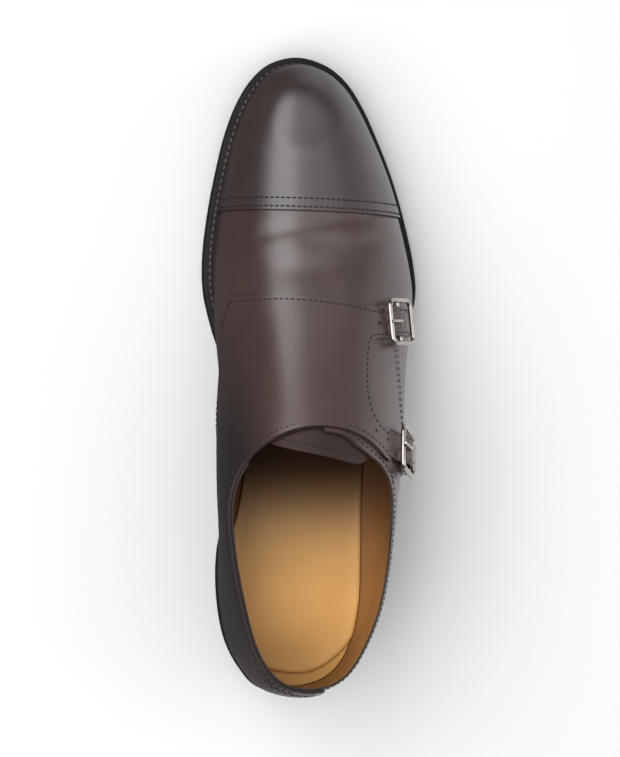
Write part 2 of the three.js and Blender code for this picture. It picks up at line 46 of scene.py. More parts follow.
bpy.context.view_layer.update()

# %% [markdown]
# A shoe is photographed from above with a long lens from well away, so that near and far parts keep
# their size. The camera could be placed by hand in the viewport, but three numbers say it better:
# how far away it hangs, how many degrees it leans to the foot's inner side, and how it is rolled.
# The picture it has to fill is 620 by 757 pixels.

# %% Camera
MM = 0.001
HEEL_CENTRE = 34.0
CAMERA_DISTANCE = 1.5
CAMERA_TILT = math.radians(7.5)
CAMERA_ROLL = math.radians(-0.5)
CAMERA_LENS = 147.5
AIM = Vector((0.0112, 0.1155, 0.0))

bpy.ops.object.camera_add()
camera = bpy.context.object
camera.name = "camera"
camera.data.lens = CAMERA_LENS
camera.data.sensor_fit = "AUTO"
camera.data.sensor_width = 36.0
look_back = Vector((-math.sin(CAMERA_TILT), 0.0, math.cos(CAMERA_TILT)))
side = Vector((math.cos(CAMERA_TILT), 0.0, math.sin(CAMERA_TILT)))
turn = Matrix((side, Vector((0.0, 1.0, 0.0)), look_back)).transposed()
turn = turn @ Matrix.Rotation(-CAMERA_ROLL, 3, "Z")
camera.matrix_world = Matrix.Translation(AIM + look_back * CAMERA_DISTANCE) @ turn.to_4x4()
scene.camera = camera
scene.view_settings.view_transform = "Standard"
print("camera at", [round(c, 3) for c in camera.location])

# %% [markdown]
# The studio floor is one large pale plane. Polished leather shows its surroundings more than its own
# colour, so the floor plays two parts: to the eye it is evenly pale, and to rays that have bounced
# off something shiny its inner side is nearly black. A dark card beside the shoe would do the same.

# %% Floor
FLOOR_TONE = 0.47
CARD_TONE = 0.06
BRIGHT_TONE = 0.6
bpy.ops.object.select_all(action="DESELECT")
bpy.ops.mesh.primitive_plane_add(size=6.0, location=(0.0, 0.1, -0.0002))
floor = bpy.context.object
floor.name = "studio_floor"
paint = bpy.data.materials.new("floor_paint")
paint.use_nodes = True
floor.data.materials.append(paint)
paint_tree = paint.node_tree
floor_surface = paint_tree.nodes["Principled BSDF"]
floor_surface.inputs["Roughness"].default_value = 0.9
floor_place = paint_tree.nodes.new("ShaderNodeTexCoord")
floor_split = paint_tree.nodes.new("ShaderNodeSeparateXYZ")
floor_side = paint_tree.nodes.new("ShaderNodeMapRange")
floor_side.inputs["From Min"].default_value = -0.03
floor_side.inputs["From Max"].default_value = 0.06
floor_side.inputs["To Min"].default_value = CARD_TONE
floor_side.inputs["To Max"].default_value = BRIGHT_TONE
ray_kind = paint_tree.nodes.new("ShaderNodeLightPath")
floor_mix = paint_tree.nodes.new("ShaderNodeMix")
floor_mix.inputs["A"].default_value = FLOOR_TONE
paint_tree.links.new(floor_place.outputs["Object"], floor_split.inputs[0])
paint_tree.links.new(floor_split.outputs["X"], floor_side.inputs["Value"])
paint_tree.links.new(ray_kind.outputs["Is Glossy Ray"], floor_mix.inputs["Factor"])
paint_tree.links.new(floor_side.outputs["Result"], floor_mix.inputs["B"])
paint_tree.links.new(floor_mix.outputs["Result"], floor_surface.inputs["Base Color"])
print("floor laid at", round(floor.location.z, 4))

# %% [markdown]
# Each soft box is an area light, a glowing rectangle. The box on the inner side draws the long
# highlight down the shoe, and its width sets the highlight's width. The veil overhead lifts the outer
# half, and the low box on the outer side lights the wall behind the buckles. A point light would give
# a small hard glint instead.


# %% Soft boxes
def add_softbox(name, place, width, length, power, lean=0.0):
    bpy.ops.object.light_add(type="AREA", location=place)
    box = bpy.context.object
    box.name = name
    box.data.shape = "RECTANGLE"
    box.data.size = width
    box.data.size_y = length
    box.data.energy = power
    box.rotation_euler = (0.0, math.radians(lean), 0.0)
    print(name, power, "watts")


add_softbox("inner_side_box", (-1.12, 0.25, 1.6), 1.7, 3.8, 98, -36.0)
add_softbox("overhead_veil", (0.75, 0.05, 2.1), 3.0, 4.4, 66)
add_softbox("outer_side_box", (2.2, 0.1, 0.8), 1.2, 1.6, 18, 68.0)

# %% [markdown]
# The rest of the room is the world behind everything. A colour ramp over the height makes it paler
# near the horizon, and a second ramp from inner to outer side lights the outer side more, as a wall
# or window there would. An image of a real room would work too, but its corners would show as specks.

# %% Surround
world = bpy.data.worlds.new("studio_surround")
scene.world = world
world.use_nodes = True
sky = world.node_tree
ray = sky.nodes.new("ShaderNodeTexCoord")
split = sky.nodes.new("ShaderNodeSeparateXYZ")
ramp = sky.nodes.new("ShaderNodeValToRGB")
ramp.color_ramp.elements[0].position = 0.0
ramp.color_ramp.elements[0].color = (0.2, 0.2, 0.2, 1)
ramp.color_ramp.elements[1].position = 0.97
ramp.color_ramp.elements[1].color = (0.04, 0.04, 0.04, 1)
middle = ramp.color_ramp.elements.new(0.55)
middle.color = (0.06, 0.06, 0.06, 1)
sky.links.new(ray.outputs["Generated"], split.inputs[0])
sky.links.new(split.outputs["Z"], ramp.inputs["Fac"])
sky.links.new(ramp.outputs["Color"], sky.nodes["Background"].inputs["Color"])
east = sky.nodes.new("ShaderNodeMapRange")
east.inputs["From Min"].default_value = -0.7
east.inputs["From Max"].default_value = 0.7
east.inputs["To Min"].default_value = 0.12
east.inputs["To Max"].default_value = 2.8
sky.links.new(split.outputs["X"], east.inputs["Value"])
sky.links.new(east.outputs["Result"], sky.nodes["Background"].inputs["Strength"])
print("surround", [round(element.position, 2) for element in ramp.color_ramp.elements])

# %% [markdown]
# A shoe is built on a last, a solid foot form. Its surface curves both ways at every point, which no
# primitive gives, so the leather is lofted over it: each rib runs from the feather line, where upper
# meets sole, up to the last's ridge. Sculpting could give such a form too, but these tables are the
# CAD's own, so the leather lands where the solids are.

# %% The last's tables
SOLE_LENGTH = 303.0
BALL_WIDTH = 103.0
INSTEP = 86.0
HEEL_HEIGHT = 26.0
GAP = 0.3
UPPER_WALL = 1.8
OVERLAY = 1.2
CAP_WALL = 0.9
TONGUE_WALL = 1.8
LIFT = UPPER_WALL + GAP
# share of length, medial (width, swell, height of swell), lateral (the same), inset
SECTIONS = np.array([
    (0.013, 0.17, 0.5, 0.3, 0.152, 0.5, 0.3, 4.2),
    (0.04, 0.245, 0.8, 0.3, 0.243, 0.8, 0.3, 4.2),
    (0.08, 0.31, 0.8, 0.3, 0.302, 2, 0.27, 4.2),
    (0.14, 0.35, 0.8, 0.3, 0.34, 6, 0.28, 4.3),
    (0.22, 0.355, 4.5, 0.5, 0.35, 9.5, 0.33, 4.6),
    (0.31, 0.3, 14.5, 0.56, 0.36, 12.5, 0.4, 5),
    (0.41, 0.262, 15.5, 0.44, 0.398, 14, 0.38, 5),
    (0.495, 0.291, 11, 0.35, 0.476, 9, 0.32, 5.5),
    (0.568, 0.36, 5.4, 0.3, 0.555, 4.5, 0.3, 6.4),
    (0.627, 0.402, 1.8, 0.3, 0.597, 2.5, 0.3, 7),
    (0.677, 0.408, 1, 0.3, 0.585, 2, 0.3, 7.3),
    (0.743, 0.39, 0.6, 0.3, 0.541, 2, 0.3, 7.4),
    (0.815, 0.354, 0.5, 0.3, 0.475, 2, 0.3, 7.4),
    (0.878, 0.312, 0.5, 0.3, 0.396, 1.8, 0.3, 7.3),
    (0.927, 0.26, 0.5, 0.3, 0.323, 1.5, 0.3, 7.2),
    (0.963, 0.197, 0.5, 0.3, 0.247, 1.2, 0.3, 7),
    (0.988, 0.118, 0.8, 0.3, 0.15, 1, 0.3, 7),
])
# share of length, ridge height, lean, fullness
SPINE = np.array([
    (0.1, 1.46, 0.02, 2.15), (0.2, 1.43, 0.02, 2.4), (0.33, 1.27, 0.015, 2.35),
    (0.422, 1.1, 0.012, 2.25), (0.495, 0.965, 0.012, 2.15), (0.561, 0.855, 0.015, 2.15),
    (0.627, 0.756, 0.02, 2.1), (0.693, 0.674, 0.025, 2.1), (0.766, 0.599, 0.03, 2.05),
    (0.825, 0.547, 0.025, 2), (0.88, 0.5, 0.02, 1.95),
])
COLLAR = np.array([
    (-30, 97), (4, 93.5), (30, 89), (62, 84.5), (90, 83), (108, 85),
    (120, 90), (131, 99), (142, 114), (152, 134),
], float)
COLLAR_ROLL = math.radians(2.4)
COLLAR_PIVOT = 85.0

print("sections", len(SECTIONS), "spine", len(SPINE), "collar", len(COLLAR))

# %% [markdown]
# A table gives a value at a few places only. Straight lines between them would show as flats in the
# polish, so each column is read through a smooth curve that passes through every row.


# %% Reading a table
def column(table, pick):
    at, value = table[:, 0], table[:, pick]
    slope = np.gradient(value, at)
    slope[1:-1] = (value[2:] - value[:-2]) / (at[2:] - at[:-2])

    def read(share):
        share = np.clip(share, at[0], at[-1])
        i = np.clip(np.searchsorted(at, share, side="right") - 1, 0, len(at) - 2)
        span = at[i + 1] - at[i]
        t = (share - at[i]) / span
        rise = value[i + 1] - value[i]
        a = slope[i] * span - rise
        b = rise - slope[i + 1] * span
        return value[i] + t * rise + t * (1 - t) * ((1 - t) * a + t * b)

    return read


INSET = column(SECTIONS, 7)
SWELL = {-1: column(SECTIONS, 2), 1: column(SECTIONS, 5)}
SWELL_AT = {-1: column(SECTIONS, 3), 1: column(SECTIONS, 6)}
RIDGE, LEAN, FULL = column(SPINE, 1), column(SPINE, 2), column(SPINE, 3)
print("ridge at mid length", round(float(RIDGE(0.5)) * INSTEP, 1), "mm")

# %% [markdown]
# Seen from above, the sole is one closed line through the widths in the table. A Bezier curve drawn
# by eye could give it as well. A centripetal spline is used because it never swings past two points
# that lie close together, and it is those swings that would spoil the line round the toe.

# %% The sole's outline
medial = np.stack([-SECTIONS[:, 1] * BALL_WIDTH, SECTIONS[:, 0] * SOLE_LENGTH], 1)
lateral = np.stack([SECTIONS[:, 4] * BALL_WIDTH, SECTIONS[:, 0] * SOLE_LENGTH], 1)[::-1]
OUTLINE = np.concatenate([[(0.0, 0.0)], medial, [(1.0, SOLE_LENGTH)], lateral])


def outline(u):
    n = len(OUTLINE)
    k = (np.asarray(u, float) % 1.0) * n
    i = np.floor(k).astype(int)
    w = (k - i)[..., None]
    p = [OUTLINE[(i + d) % n] for d in (-1, 0, 1, 2)]
    d = [np.maximum(np.linalg.norm(b - a, axis=-1), 1e-6)[..., None] ** 0.5 for a, b in zip(p, p[1:])]
    t1 = (p[1] - p[0]) / d[0] - (p[2] - p[0]) / (d[0] + d[1]) + (p[2] - p[1]) / d[1]
    t2 = (p[2] - p[1]) / d[1] - (p[3] - p[1]) / (d[1] + d[2]) + (p[3] - p[2]) / d[2]
    t1, t2 = t1 * d[1], t2 * d[1]
    return p[1] + t1 * w + (3 * (p[2] - p[1]) - 2 * t1 - t2) * w**2 + (2 * (p[1] - p[2]) + t1 + t2) * w**3


def edge(u):
    point = outline(u)
    ahead = outline(np.asarray(u) + 1e-4) - outline(np.asarray(u) - 1e-4)
    ahead /= np.linalg.norm(ahead, axis=-1)[..., None]
    return point, np.stack([-ahead[..., 1], ahead[..., 0]], -1)


dense = np.linspace(0, 1, 4001)
dense_forward = outline(dense)[:, 1]
toe = int(np.argmax(dense_forward[:-1]))
HALF = 190
forward_steps = SOLE_LENGTH / 2 * (1 - np.cos(np.pi * np.arange(HALF + 1) / HALF))
medial_u = np.interp(forward_steps[1:-1], dense_forward[: toe + 1], dense[: toe + 1])
lateral_u = np.interp(forward_steps[1:-1], dense_forward[toe:][::-1], dense[toe:][::-1])
LOOP = np.concatenate([[0.0], medial_u, [dense[toe]], lateral_u[::-1]])
print("stations round the sole", len(LOOP))

# %% [markdown]
# A sole isn't flat. It touches the floor at the ball, arches up over the waist to the heel seat, and
# springs up a little at the toe, so that the shoe can roll forward. Sole, welt and upper all read
# their heights from these few functions, and so they stay stacked wherever the sole bends.

# %% Heights of the sole
HEEL_SEAT_END, BALL_START, SPRING_START = 72, 178, 212
TOE_SPRING = 10
SOLE_WALL = 5.0
WELT_WALL = 3.0


def underside(f):
    f = np.asarray(f, float)
    waist = np.clip((f - HEEL_SEAT_END) / (BALL_START - HEEL_SEAT_END), 0, 1)
    arch = HEEL_HEIGHT * (1 + np.cos(np.pi * waist)) / 2
    spring = TOE_SPRING * (np.clip(f - SPRING_START, 0, None) / (SOLE_LENGTH - SPRING_START)) ** 1.7
    return np.where(f < BALL_START, arch, spring)


def sole_top(f):
    return underside(f) + SOLE_WALL


def welt_top(f):
    return sole_top(f) + GAP + WELT_WALL


def feather(f):
    return welt_top(f) + GAP


print("toe spring", round(float(underside(SOLE_LENGTH)), 1), "mm")

# %% [markdown]
# One point of the last lies so far round the sole, u, and so far up its rib, v. The rib is a rounded
# arch between the feather line and the ridge, with a swell on each side where the foot is fuller.
# Working with u and v keeps every later piece a plain grid of rows and columns, which skins cleanly.


# %% A point on the last
def last_points(u, v):
    u, v = np.broadcast_arrays(np.asarray(u, float), np.asarray(v, float))
    point, out = edge(u)
    share = point[..., 1] / SOLE_LENGTH
    foot = point - out * INSET(share)[..., None]
    low, high, reach = SPINE[0, 0] * SOLE_LENGTH, SPINE[-1, 0] * SOLE_LENGTH, 24.0
    y = foot[..., 1]
    spine_y = np.where(y < low + reach, low + np.clip(y - low + reach, 0, None) ** 2 / (4 * reach), y)
    top_y = high - np.clip(high - y + reach, 0, None) ** 2 / (4 * reach)
    spine_y = np.where(y > high - reach, top_y, spine_y)
    spine_share = spine_y / SOLE_LENGTH
    top = np.stack([LEAN(spine_share) * BALL_WIDTH, spine_y], -1)
    power = 2 / FULL(spine_share)
    angle = v * np.pi / 2
    inward = 1 - np.cos(angle) ** power
    rise = np.sin(angle) ** power
    is_medial = point[..., 0] < 0
    peak = np.where(is_medial, SWELL_AT[-1](share), SWELL_AT[1](share))
    swell = np.maximum(rise, 1e-9) ** (np.log(0.5) / np.log(peak))
    size = np.where(is_medial, SWELL[-1](share), SWELL[1](share))
    flat = foot + (top - foot) * inward[..., None] + out * (size * 4 * swell * (1 - swell))[..., None]
    base = feather(foot[..., 1])
    z = base + (RIDGE(spine_share) * INSTEP - base) * rise
    behind = np.maximum(spine_share - 0.01, SPINE[0, 0])
    before = np.minimum(spine_share + 0.01, SPINE[-1, 0])
    slope = (RIDGE(before) - RIDGE(behind)) * INSTEP / ((before - behind) * SOLE_LENGTH)
    z = z + slope * np.maximum(y - spine_y, 0) * (1 - inward) * rise**3
    return np.concatenate([flat, z[..., None]], -1)


print("top of the heel", last_points(0.0, 1.0).round(1).tolist())

# %% [markdown]
# A glossy surface betrays every bump that two table rows leave between them. So the grid of points is
# relaxed: each point moves a little towards the middle of its neighbours, many times over, and less
# near the feather line, which has to stay put. The Smooth brush or modifier does the same by hand.

# %% The last as a smooth grid
RINGS = 50
V = np.linspace(0, 0.96, RINGS)
grid = last_points(LOOP[:, None], V[None, :])
MIRROR = (-np.arange(len(LOOP))) % len(LOOP)
ease = np.clip((V - 0.03) / 0.4, 0, 1)
ease = (ease * ease * (3 - 2 * ease))[None, :, None]
for _ in range(80):
    ring = (np.roll(grid, 1, 0) + np.roll(grid, -1, 0)) / 2
    tall = np.concatenate([grid[:, :1], grid, grid[MIRROR, -1:]], 1)
    grid = grid + ease * 0.5 * (0.6 * ring + 0.2 * (tall[:, :-2] + tall[:, 2:]) - grid)
crown = np.clip((V - 0.55) / 0.25, 0, 1)[None, :, None]
for _ in range(120):
    ring = (np.roll(grid, 1, 0) + np.roll(grid, -1, 0)) / 2
    tall = np.concatenate([grid[:, :1], grid, grid[MIRROR, -1:]], 1)
    grid = grid + crown * 0.5 * (0.6 * ring + 0.2 * (tall[:, :-2] + tall[:, 2:]) - grid)

print("grid", grid.shape, "height", round(float(grid[..., 2].max()), 1))

# %% [markdown]
# The ribs all meet in one point over the toe, and a meeting point like that pinches the highlight. A
# dome, a surface of the fourth degree, is fitted to the points round it, and they are eased onto it.


# %% The toe's dome
def slopes(points):
    round_it = np.roll(points, -1, 0) - np.roll(points, 1, 0)
    tall = np.concatenate([points[:, :1], points, points[MIRROR, -1:]], 1)
    return round_it, tall[:, 2:] - tall[:, :-2]


DOME = 24.0
along, up = slopes(grid)
patch = np.linalg.norm(np.cross(along, up), axis=-1)
offset = (grid[..., :2] - grid[len(LOOP) // 2, -1, :2]) / DOME
away = np.linalg.norm(offset, axis=-1)
terms = [(i, j) for i in range(5) for j in range(5 - i)]
basis = np.stack([offset[..., 0] ** i * offset[..., 1] ** j for i, j in terms], -1)
near = away < 1.0
weight = np.sqrt(patch[near])[:, None]
fitted = np.linalg.lstsq(basis[near] * weight, grid[near][:, 2:] * weight, rcond=None)[0]
blend = np.clip((0.95 - away) / 0.45, 0, 1)
blend = blend * blend * (3 - 2 * blend)
grid[..., 2] += blend * ((basis @ fitted)[..., 0] - grid[..., 2])
print("dome over", int(near.sum()), "points")

# %% [markdown]
# A normal is the direction that a surface faces. Leather has a thickness, and it is laid off the last
# along these directions, so they are relaxed as the points were, or thin sheets would ripple.

# %% Directions off the last
along, up = slopes(grid)
normals = -np.cross(along, up)
normals /= np.maximum(np.linalg.norm(normals, axis=-1), 1e-9)[..., None]
for _ in range(60):
    ring = (np.roll(normals, 1, 0) + np.roll(normals, -1, 0)) / 2
    tall = np.concatenate([normals[:, :1], normals, normals[MIRROR, -1:]], 1)
    normals = normals + ease * 0.5 * (0.6 * ring + 0.2 * (tall[:, :-2] + tall[:, 2:]) - normals)
    normals /= np.linalg.norm(normals, axis=-1)[..., None]
normals[:, 0] = np.concatenate([edge(LOOP)[1], np.zeros((len(LOOP), 1))], -1)
print("directions", normals.shape)

# %% [markdown]
# Behind the cap the vamp bends with the foot, and even a new shoe has soft troughs there. Each one is
# placed one by one: a line across the vamp, how wide it is and how deep. A noise texture would be
# quicker, but it puts creases where no foot makes them.

# %% Creases of the vamp
# each trough: its line as (across, forward), its width, its depth
TROUGHS = [
    ([(-20, 215.5), (-9, 218.4), (4, 221.0), (18, 223.5), (34, 224)], 3.8, 0.6),
    ([(-24, 202), (0, 200), (24, 205)], 7.0, 0.6),
    ([(2, 213), (18, 211), (38, 214)], 4.5, 0.4),
]
creased = grid.copy()
for line, width, depth in TROUGHS:
    line = np.array(line, float)
    x, f = grid[..., 0], grid[..., 1]
    away = f - np.interp(x, line[:, 0], line[:, 1])
    ends = np.clip((x - line[0, 0] + 8) / 12, 0, 1) * np.clip((line[-1, 0] + 8 - x) / 12, 0, 1)
    sink = depth * np.exp(-((away / width) ** 2)) * ends * ends * (3 - 2 * ends)
    creased -= normals * (sink * (grid[..., 2] > feather(f) + 12))[..., None]
print("deepest crease", round(float(np.linalg.norm(creased - grid, axis=-1).max()), 2), "mm")

# %% [markdown]
# Rows of points become a mesh by skinning: four neighbouring points make a face, ring after ring,
# like planks over the ribs of a boat. Bridge Edge Loops does that by hand. Here the rings come
# from the tables, so the faces are written down directly, with both ends closed by rungs.


# %% Skinning rings of points
def lifted(base, lift):
    moved = base + normals * np.broadcast_to(lift, normals.shape[:2])[..., None]
    moved[:, 0, 2] = feather(moved[:, 0, 1])
    return moved


def to_world(points):
    return (np.asarray(points, float) - (0, HEEL_CENTRE, 0)) * MM


def new_object(name, points, faces):
    mesh = bpy.data.meshes.new(name)
    mesh.from_pydata([tuple(p) for p in to_world(points)], [], faces)
    mesh.update()
    piece = bpy.data.objects.new(name, mesh)
    scene.collection.objects.link(piece)
    return piece


def only(piece):
    bpy.ops.object.select_all(action="DESELECT")
    piece.select_set(True)
    bpy.context.view_layer.objects.active = piece


def ring_faces(count, rings, start=0, flip=False):
    faces = []
    for r in range(rings - 1):
        for i in range(count):
            a, b = start + r * count + i, start + r * count + (i + 1) % count
            quad = (a, a + count, b + count, b)
            faces.append(quad[::-1] if flip else quad)
    return faces


def rungs(count, start, flip=False):
    faces = []
    for i in range(count // 2):
        m, mn, l, ln = i, i + 1, (count - i) % count, count - i - 1
        face = [start + k for k in dict.fromkeys((m, mn, ln, l))]
        if len(face) > 2:
            faces.append(tuple(face[::-1] if flip else face))
    return faces


def skin(name, rings):
    rings = np.asarray(rings)
    count = rings.shape[1]
    faces = ring_faces(count, len(rings))
    faces += rungs(count, 0) + rungs(count, (len(rings) - 1) * count, flip=True)
    return new_object(name, rings.reshape(-1, 3), faces)


last_form = skin("last_form", grid.transpose(1, 0, 2))
bpy.context.view_layer.update()
print("last form", len(last_form.data.polygons), "faces")

# %% [markdown]
# A leather sheet is two such skins, an outer and an inner one, joined along their lower edge. The
# Solidify modifier could thicken a single skin, but two skins let the wall change from place to
# place, such as the thinner edge round the collar.


# %% Leather sheets
def leather_sheet(name, base, lift, wall):
    outer = lifted(base, lift + wall).transpose(1, 0, 2)
    inner = lifted(base, lift).transpose(1, 0, 2)
    count, rings = outer.shape[1], outer.shape[0]
    total = count * rings
    faces = ring_faces(count, rings) + rungs(count, (rings - 1) * count, flip=True)
    faces += ring_faces(count, rings, total, flip=True) + rungs(count, total + (rings - 1) * count)
    for i in range(count):
        j = (i + 1) % count
        faces.append((i, j, total + j, total + i))
    piece = new_object(name, np.concatenate([outer.reshape(-1, 3), inner.reshape(-1, 3)]), faces)
    outside = len(ring_faces(count, rings)) + len(rungs(count, 0))
    return piece, outside


print("rings in a sheet", grid.shape[1])

# %% [markdown]
# A clicker cuts leather to a pattern with a knife. Here the knife is a prism: the pattern's outline is
# drawn as one face, extruded through the shoe, and subtracted or intersected with a Boolean modifier.
# The prism brings its own material along, and the faces it leaves behind are the inked cut edges.


# %% Patterns and knives
def prism(name, outline_points, direction, low, high):
    points = []
    for a, b in outline_points:
        points.append((a, b, low) if direction == "Z" else (low, a, b))
    piece = new_object(name, points, [tuple(range(len(points)))])
    only(piece)
    bpy.ops.object.mode_set(mode="EDIT")
    bpy.ops.mesh.select_all(action="SELECT")
    move = (0, 0, (high - low) * MM) if direction == "Z" else ((high - low) * MM, 0, 0)
    bpy.ops.mesh.extrude_region_move(TRANSFORM_OT_translate={"value": move})
    bpy.ops.mesh.select_all(action="SELECT")
    bpy.ops.mesh.normals_make_consistent(inside=False)
    bpy.ops.object.mode_set(mode="OBJECT")
    return piece


def cut(piece, cutter, operation="DIFFERENCE"):
    only(piece)
    tool = piece.modifiers.new("pattern", "BOOLEAN")
    tool.operation = operation
    tool.solver = "EXACT"
    tool.object = cutter
    tool.material_mode = "TRANSFER"
    bpy.ops.object.modifier_apply(modifier=tool.name)
    bpy.data.objects.remove(cutter)
    return piece


def spline(points, samples):
    points = np.asarray(points, float)
    out = []
    for k in np.linspace(0, len(points) - 1, samples + 1):
        i = min(int(k), len(points) - 1)
        p = [points[min(max(i + d, 0), len(points) - 1)] for d in (-1, 0, 1, 2)]
        v0, v1, t = (p[2] - p[0]) / 2, (p[3] - p[1]) / 2, k - i
        cubic = 2 * p[1] - 2 * p[2] + v0 + v1
        square = 3 * p[2] - 3 * p[1] - 2 * v0 - v1
        out.append(cubic * t**3 + square * t**2 + v0 * t + p[1])
    return np.array(out)


print("pattern knives ready")

# %% [markdown]
# The collar is the line that the ankle sees: low at the sides, higher at the heel, and a little lower
# on the outer side, which the roll gives. Its knife is the side view of the line, open upwards.

# %% The collar's knife
collar_line = spline(COLLAR, 60)
# where rays start, in millimetres: beside, above and behind the shoe
BESIDE, ABOVE, BEHIND = 120.0, 160.0, -60.0


def touch(forward, height):
    start = Vector(to_world((BESIDE, forward, height)))
    place = last_form.ray_cast(start, Vector((-1, 0, 0)))[1]
    return np.array(place) / MM + (0, HEEL_CENTRE, 0)


def collar_cutter(shift=0.0, low=-100.0, high=100.0, line=collar_line):
    outline_points = [tuple(p) for p in line] + [(line[-1][0], 220), (-30, 220)]
    piece = prism("collar_cutter", outline_points, "X", low, high)
    pivot = Vector((0.0, 0.0, COLLAR_PIVOT * MM))
    rolled = Matrix.Rotation(COLLAR_ROLL, 4, "Y")
    turned = Matrix.Translation(pivot) @ rolled @ Matrix.Translation(-pivot)
    piece.data.transform(Matrix.Translation((0, shift * MM, 0)) @ turned)
    return piece


def above_collar(points):
    risen = (points[..., 2] - COLLAR_PIVOT) * math.cos(COLLAR_ROLL)
    height = COLLAR_PIVOT + points[..., 0] * math.sin(COLLAR_ROLL) + risen
    return height - np.interp(points[..., 1], collar_line[:, 0], collar_line[:, 1])


print("collar from", collar_line[:, 1].min().round(1), "to", collar_line[:, 1].max().round(1), "mm")

# %% [markdown]
# Leather isn't one flat colour. One shader group gives every leather here its life: a fine grain, a
# slow cloudiness in the dye, and a faint unevenness that makes reflections waver. A picture of leather
# could be laid on instead, but it would bring its own light along. The group is built once, and each
# leather sets its own colours, shine and grain on the group's sockets.


# %% Leather group
def node_group(name, inputs, outputs):
    group = bpy.data.node_groups.new(name, "ShaderNodeTree")
    for label, kind, value in inputs:
        socket = group.interface.new_socket(label, in_out="INPUT", socket_type=kind)
        if value is not None:
            socket.default_value = value
    for label, kind in outputs:
        group.interface.new_socket(label, in_out="OUTPUT", socket_type=kind)
    enter = group.nodes.new("NodeGroupInput")
    leave = group.nodes.new("NodeGroupOutput")
    return group, enter, leave


def noise(group, scale, detail=2.0):
    node = group.nodes.new("ShaderNodeTexNoise")
    node.inputs["Scale"].default_value = scale
    node.inputs["Detail"].default_value = detail
    return node


FLOAT, COLOUR, VECTOR = "NodeSocketFloat", "NodeSocketColor", "NodeSocketVector"
calf, calf_in, calf_out = node_group(
    "calf_leather",
    [("Place", VECTOR, None), ("Light Dye", COLOUR, (0.1, 0.06, 0.05, 1)),
     ("Dark Dye", COLOUR, (0.04, 0.02, 0.02, 1)), ("Shine Low", FLOAT, 0.25),
     ("Shine High", FLOAT, 0.35), ("Grain Size", FLOAT, 900.0), ("Grain Depth", FLOAT, 0.05),
     ("Waver", FLOAT, 0.1)],
    [("Colour", COLOUR), ("Roughness", FLOAT), ("Normal", VECTOR)],
)
cloud = noise(calf, 16.0, 3.0)
mottle = noise(calf, 160.0, 3.0)
grain = calf.nodes.new("ShaderNodeTexVoronoi")
for texture in (cloud, mottle, grain):
    calf.links.new(calf_in.outputs["Place"], texture.inputs["Vector"])
calf.links.new(calf_in.outputs["Grain Size"], grain.inputs["Scale"])
shade = calf.nodes.new("ShaderNodeMapRange")
shade.inputs["From Min"].default_value = 0.35
shade.inputs["From Max"].default_value = 0.65
calf.links.new(cloud.outputs["Fac"], shade.inputs["Value"])
dye = calf.nodes.new("ShaderNodeMix")
dye.data_type = "RGBA"
calf.links.new(shade.outputs["Result"], dye.inputs["Factor"])
calf.links.new(calf_in.outputs["Dark Dye"], dye.inputs["A"])
calf.links.new(calf_in.outputs["Light Dye"], dye.inputs["B"])
calf.links.new(dye.outputs["Result"], calf_out.inputs["Colour"])
shine = calf.nodes.new("ShaderNodeMapRange")
calf.links.new(mottle.outputs["Fac"], shine.inputs["Value"])
calf.links.new(calf_in.outputs["Shine Low"], shine.inputs["To Min"])
calf.links.new(calf_in.outputs["Shine High"], shine.inputs["To Max"])
calf.links.new(shine.outputs["Result"], calf_out.inputs["Roughness"])
grain_bump = calf.nodes.new("ShaderNodeBump")
grain_bump.inputs["Distance"].default_value = 0.0002
calf.links.new(calf_in.outputs["Grain Depth"], grain_bump.inputs["Strength"])
calf.links.new(grain.outputs["Distance"], grain_bump.inputs["Height"])
wave = noise(calf, 45.0, 1.0)
calf.links.new(calf_in.outputs["Place"], wave.inputs["Vector"])
wave_bump = calf.nodes.new("ShaderNodeBump")
wave_bump.inputs["Distance"].default_value = 0.002
calf.links.new(calf_in.outputs["Waver"], wave_bump.inputs["Strength"])
calf.links.new(wave.outputs["Fac"], wave_bump.inputs["Height"])
calf.links.new(grain_bump.outputs["Normal"], wave_bump.inputs["Normal"])
calf.links.new(wave_bump.outputs["Normal"], calf_out.inputs["Normal"])
print("group", calf.name)

# %% [markdown]
# Colour, roughness and normal change over the surface and come from the group. What is the same all
# over, how strongly the surface mirrors and how much wax lies on it, is set on the shader itself.


# %% A leather material
def leather(name, light, dark, shine, grain=(900.0, 0.05), waver=0.1, coat=0.0, specular=0.5):
    material = bpy.data.materials.new(name)
    material.use_nodes = True
    tree = material.node_tree
    surface = tree.nodes["Principled BSDF"]
    place = tree.nodes.new("ShaderNodeTexCoord")
    group = tree.nodes.new("ShaderNodeGroup")
    group.node_tree = calf
    tree.links.new(place.outputs["Object"], group.inputs["Place"])
    group.inputs["Light Dye"].default_value = (*light, 1)
    group.inputs["Dark Dye"].default_value = (*dark, 1)
    group.inputs["Shine Low"].default_value, group.inputs["Shine High"].default_value = shine
    group.inputs["Grain Size"].default_value, group.inputs["Grain Depth"].default_value = grain
    group.inputs["Waver"].default_value = waver
    tree.links.new(group.outputs["Colour"], surface.inputs["Base Color"])
    tree.links.new(group.outputs["Roughness"], surface.inputs["Roughness"])
    tree.links.new(group.outputs["Normal"], surface.inputs["Normal"])
    surface.inputs["Specular IOR Level"].default_value = specular
    surface.inputs["Coat Weight"].default_value = coat
    surface.inputs["Coat Roughness"].default_value = 0.22
    print("leather", name)
    return material

# %% [markdown]
# Inside the shoe the light dies away towards the toe, and the tan leather looks darker there. A second
# group mixes each tan leather towards a deep brown along the shoe's length. The render's own shadows
# do part of it, but too much light gets in through the wide opening. The helper below puts such a
# group between a leather's own group and its shader.


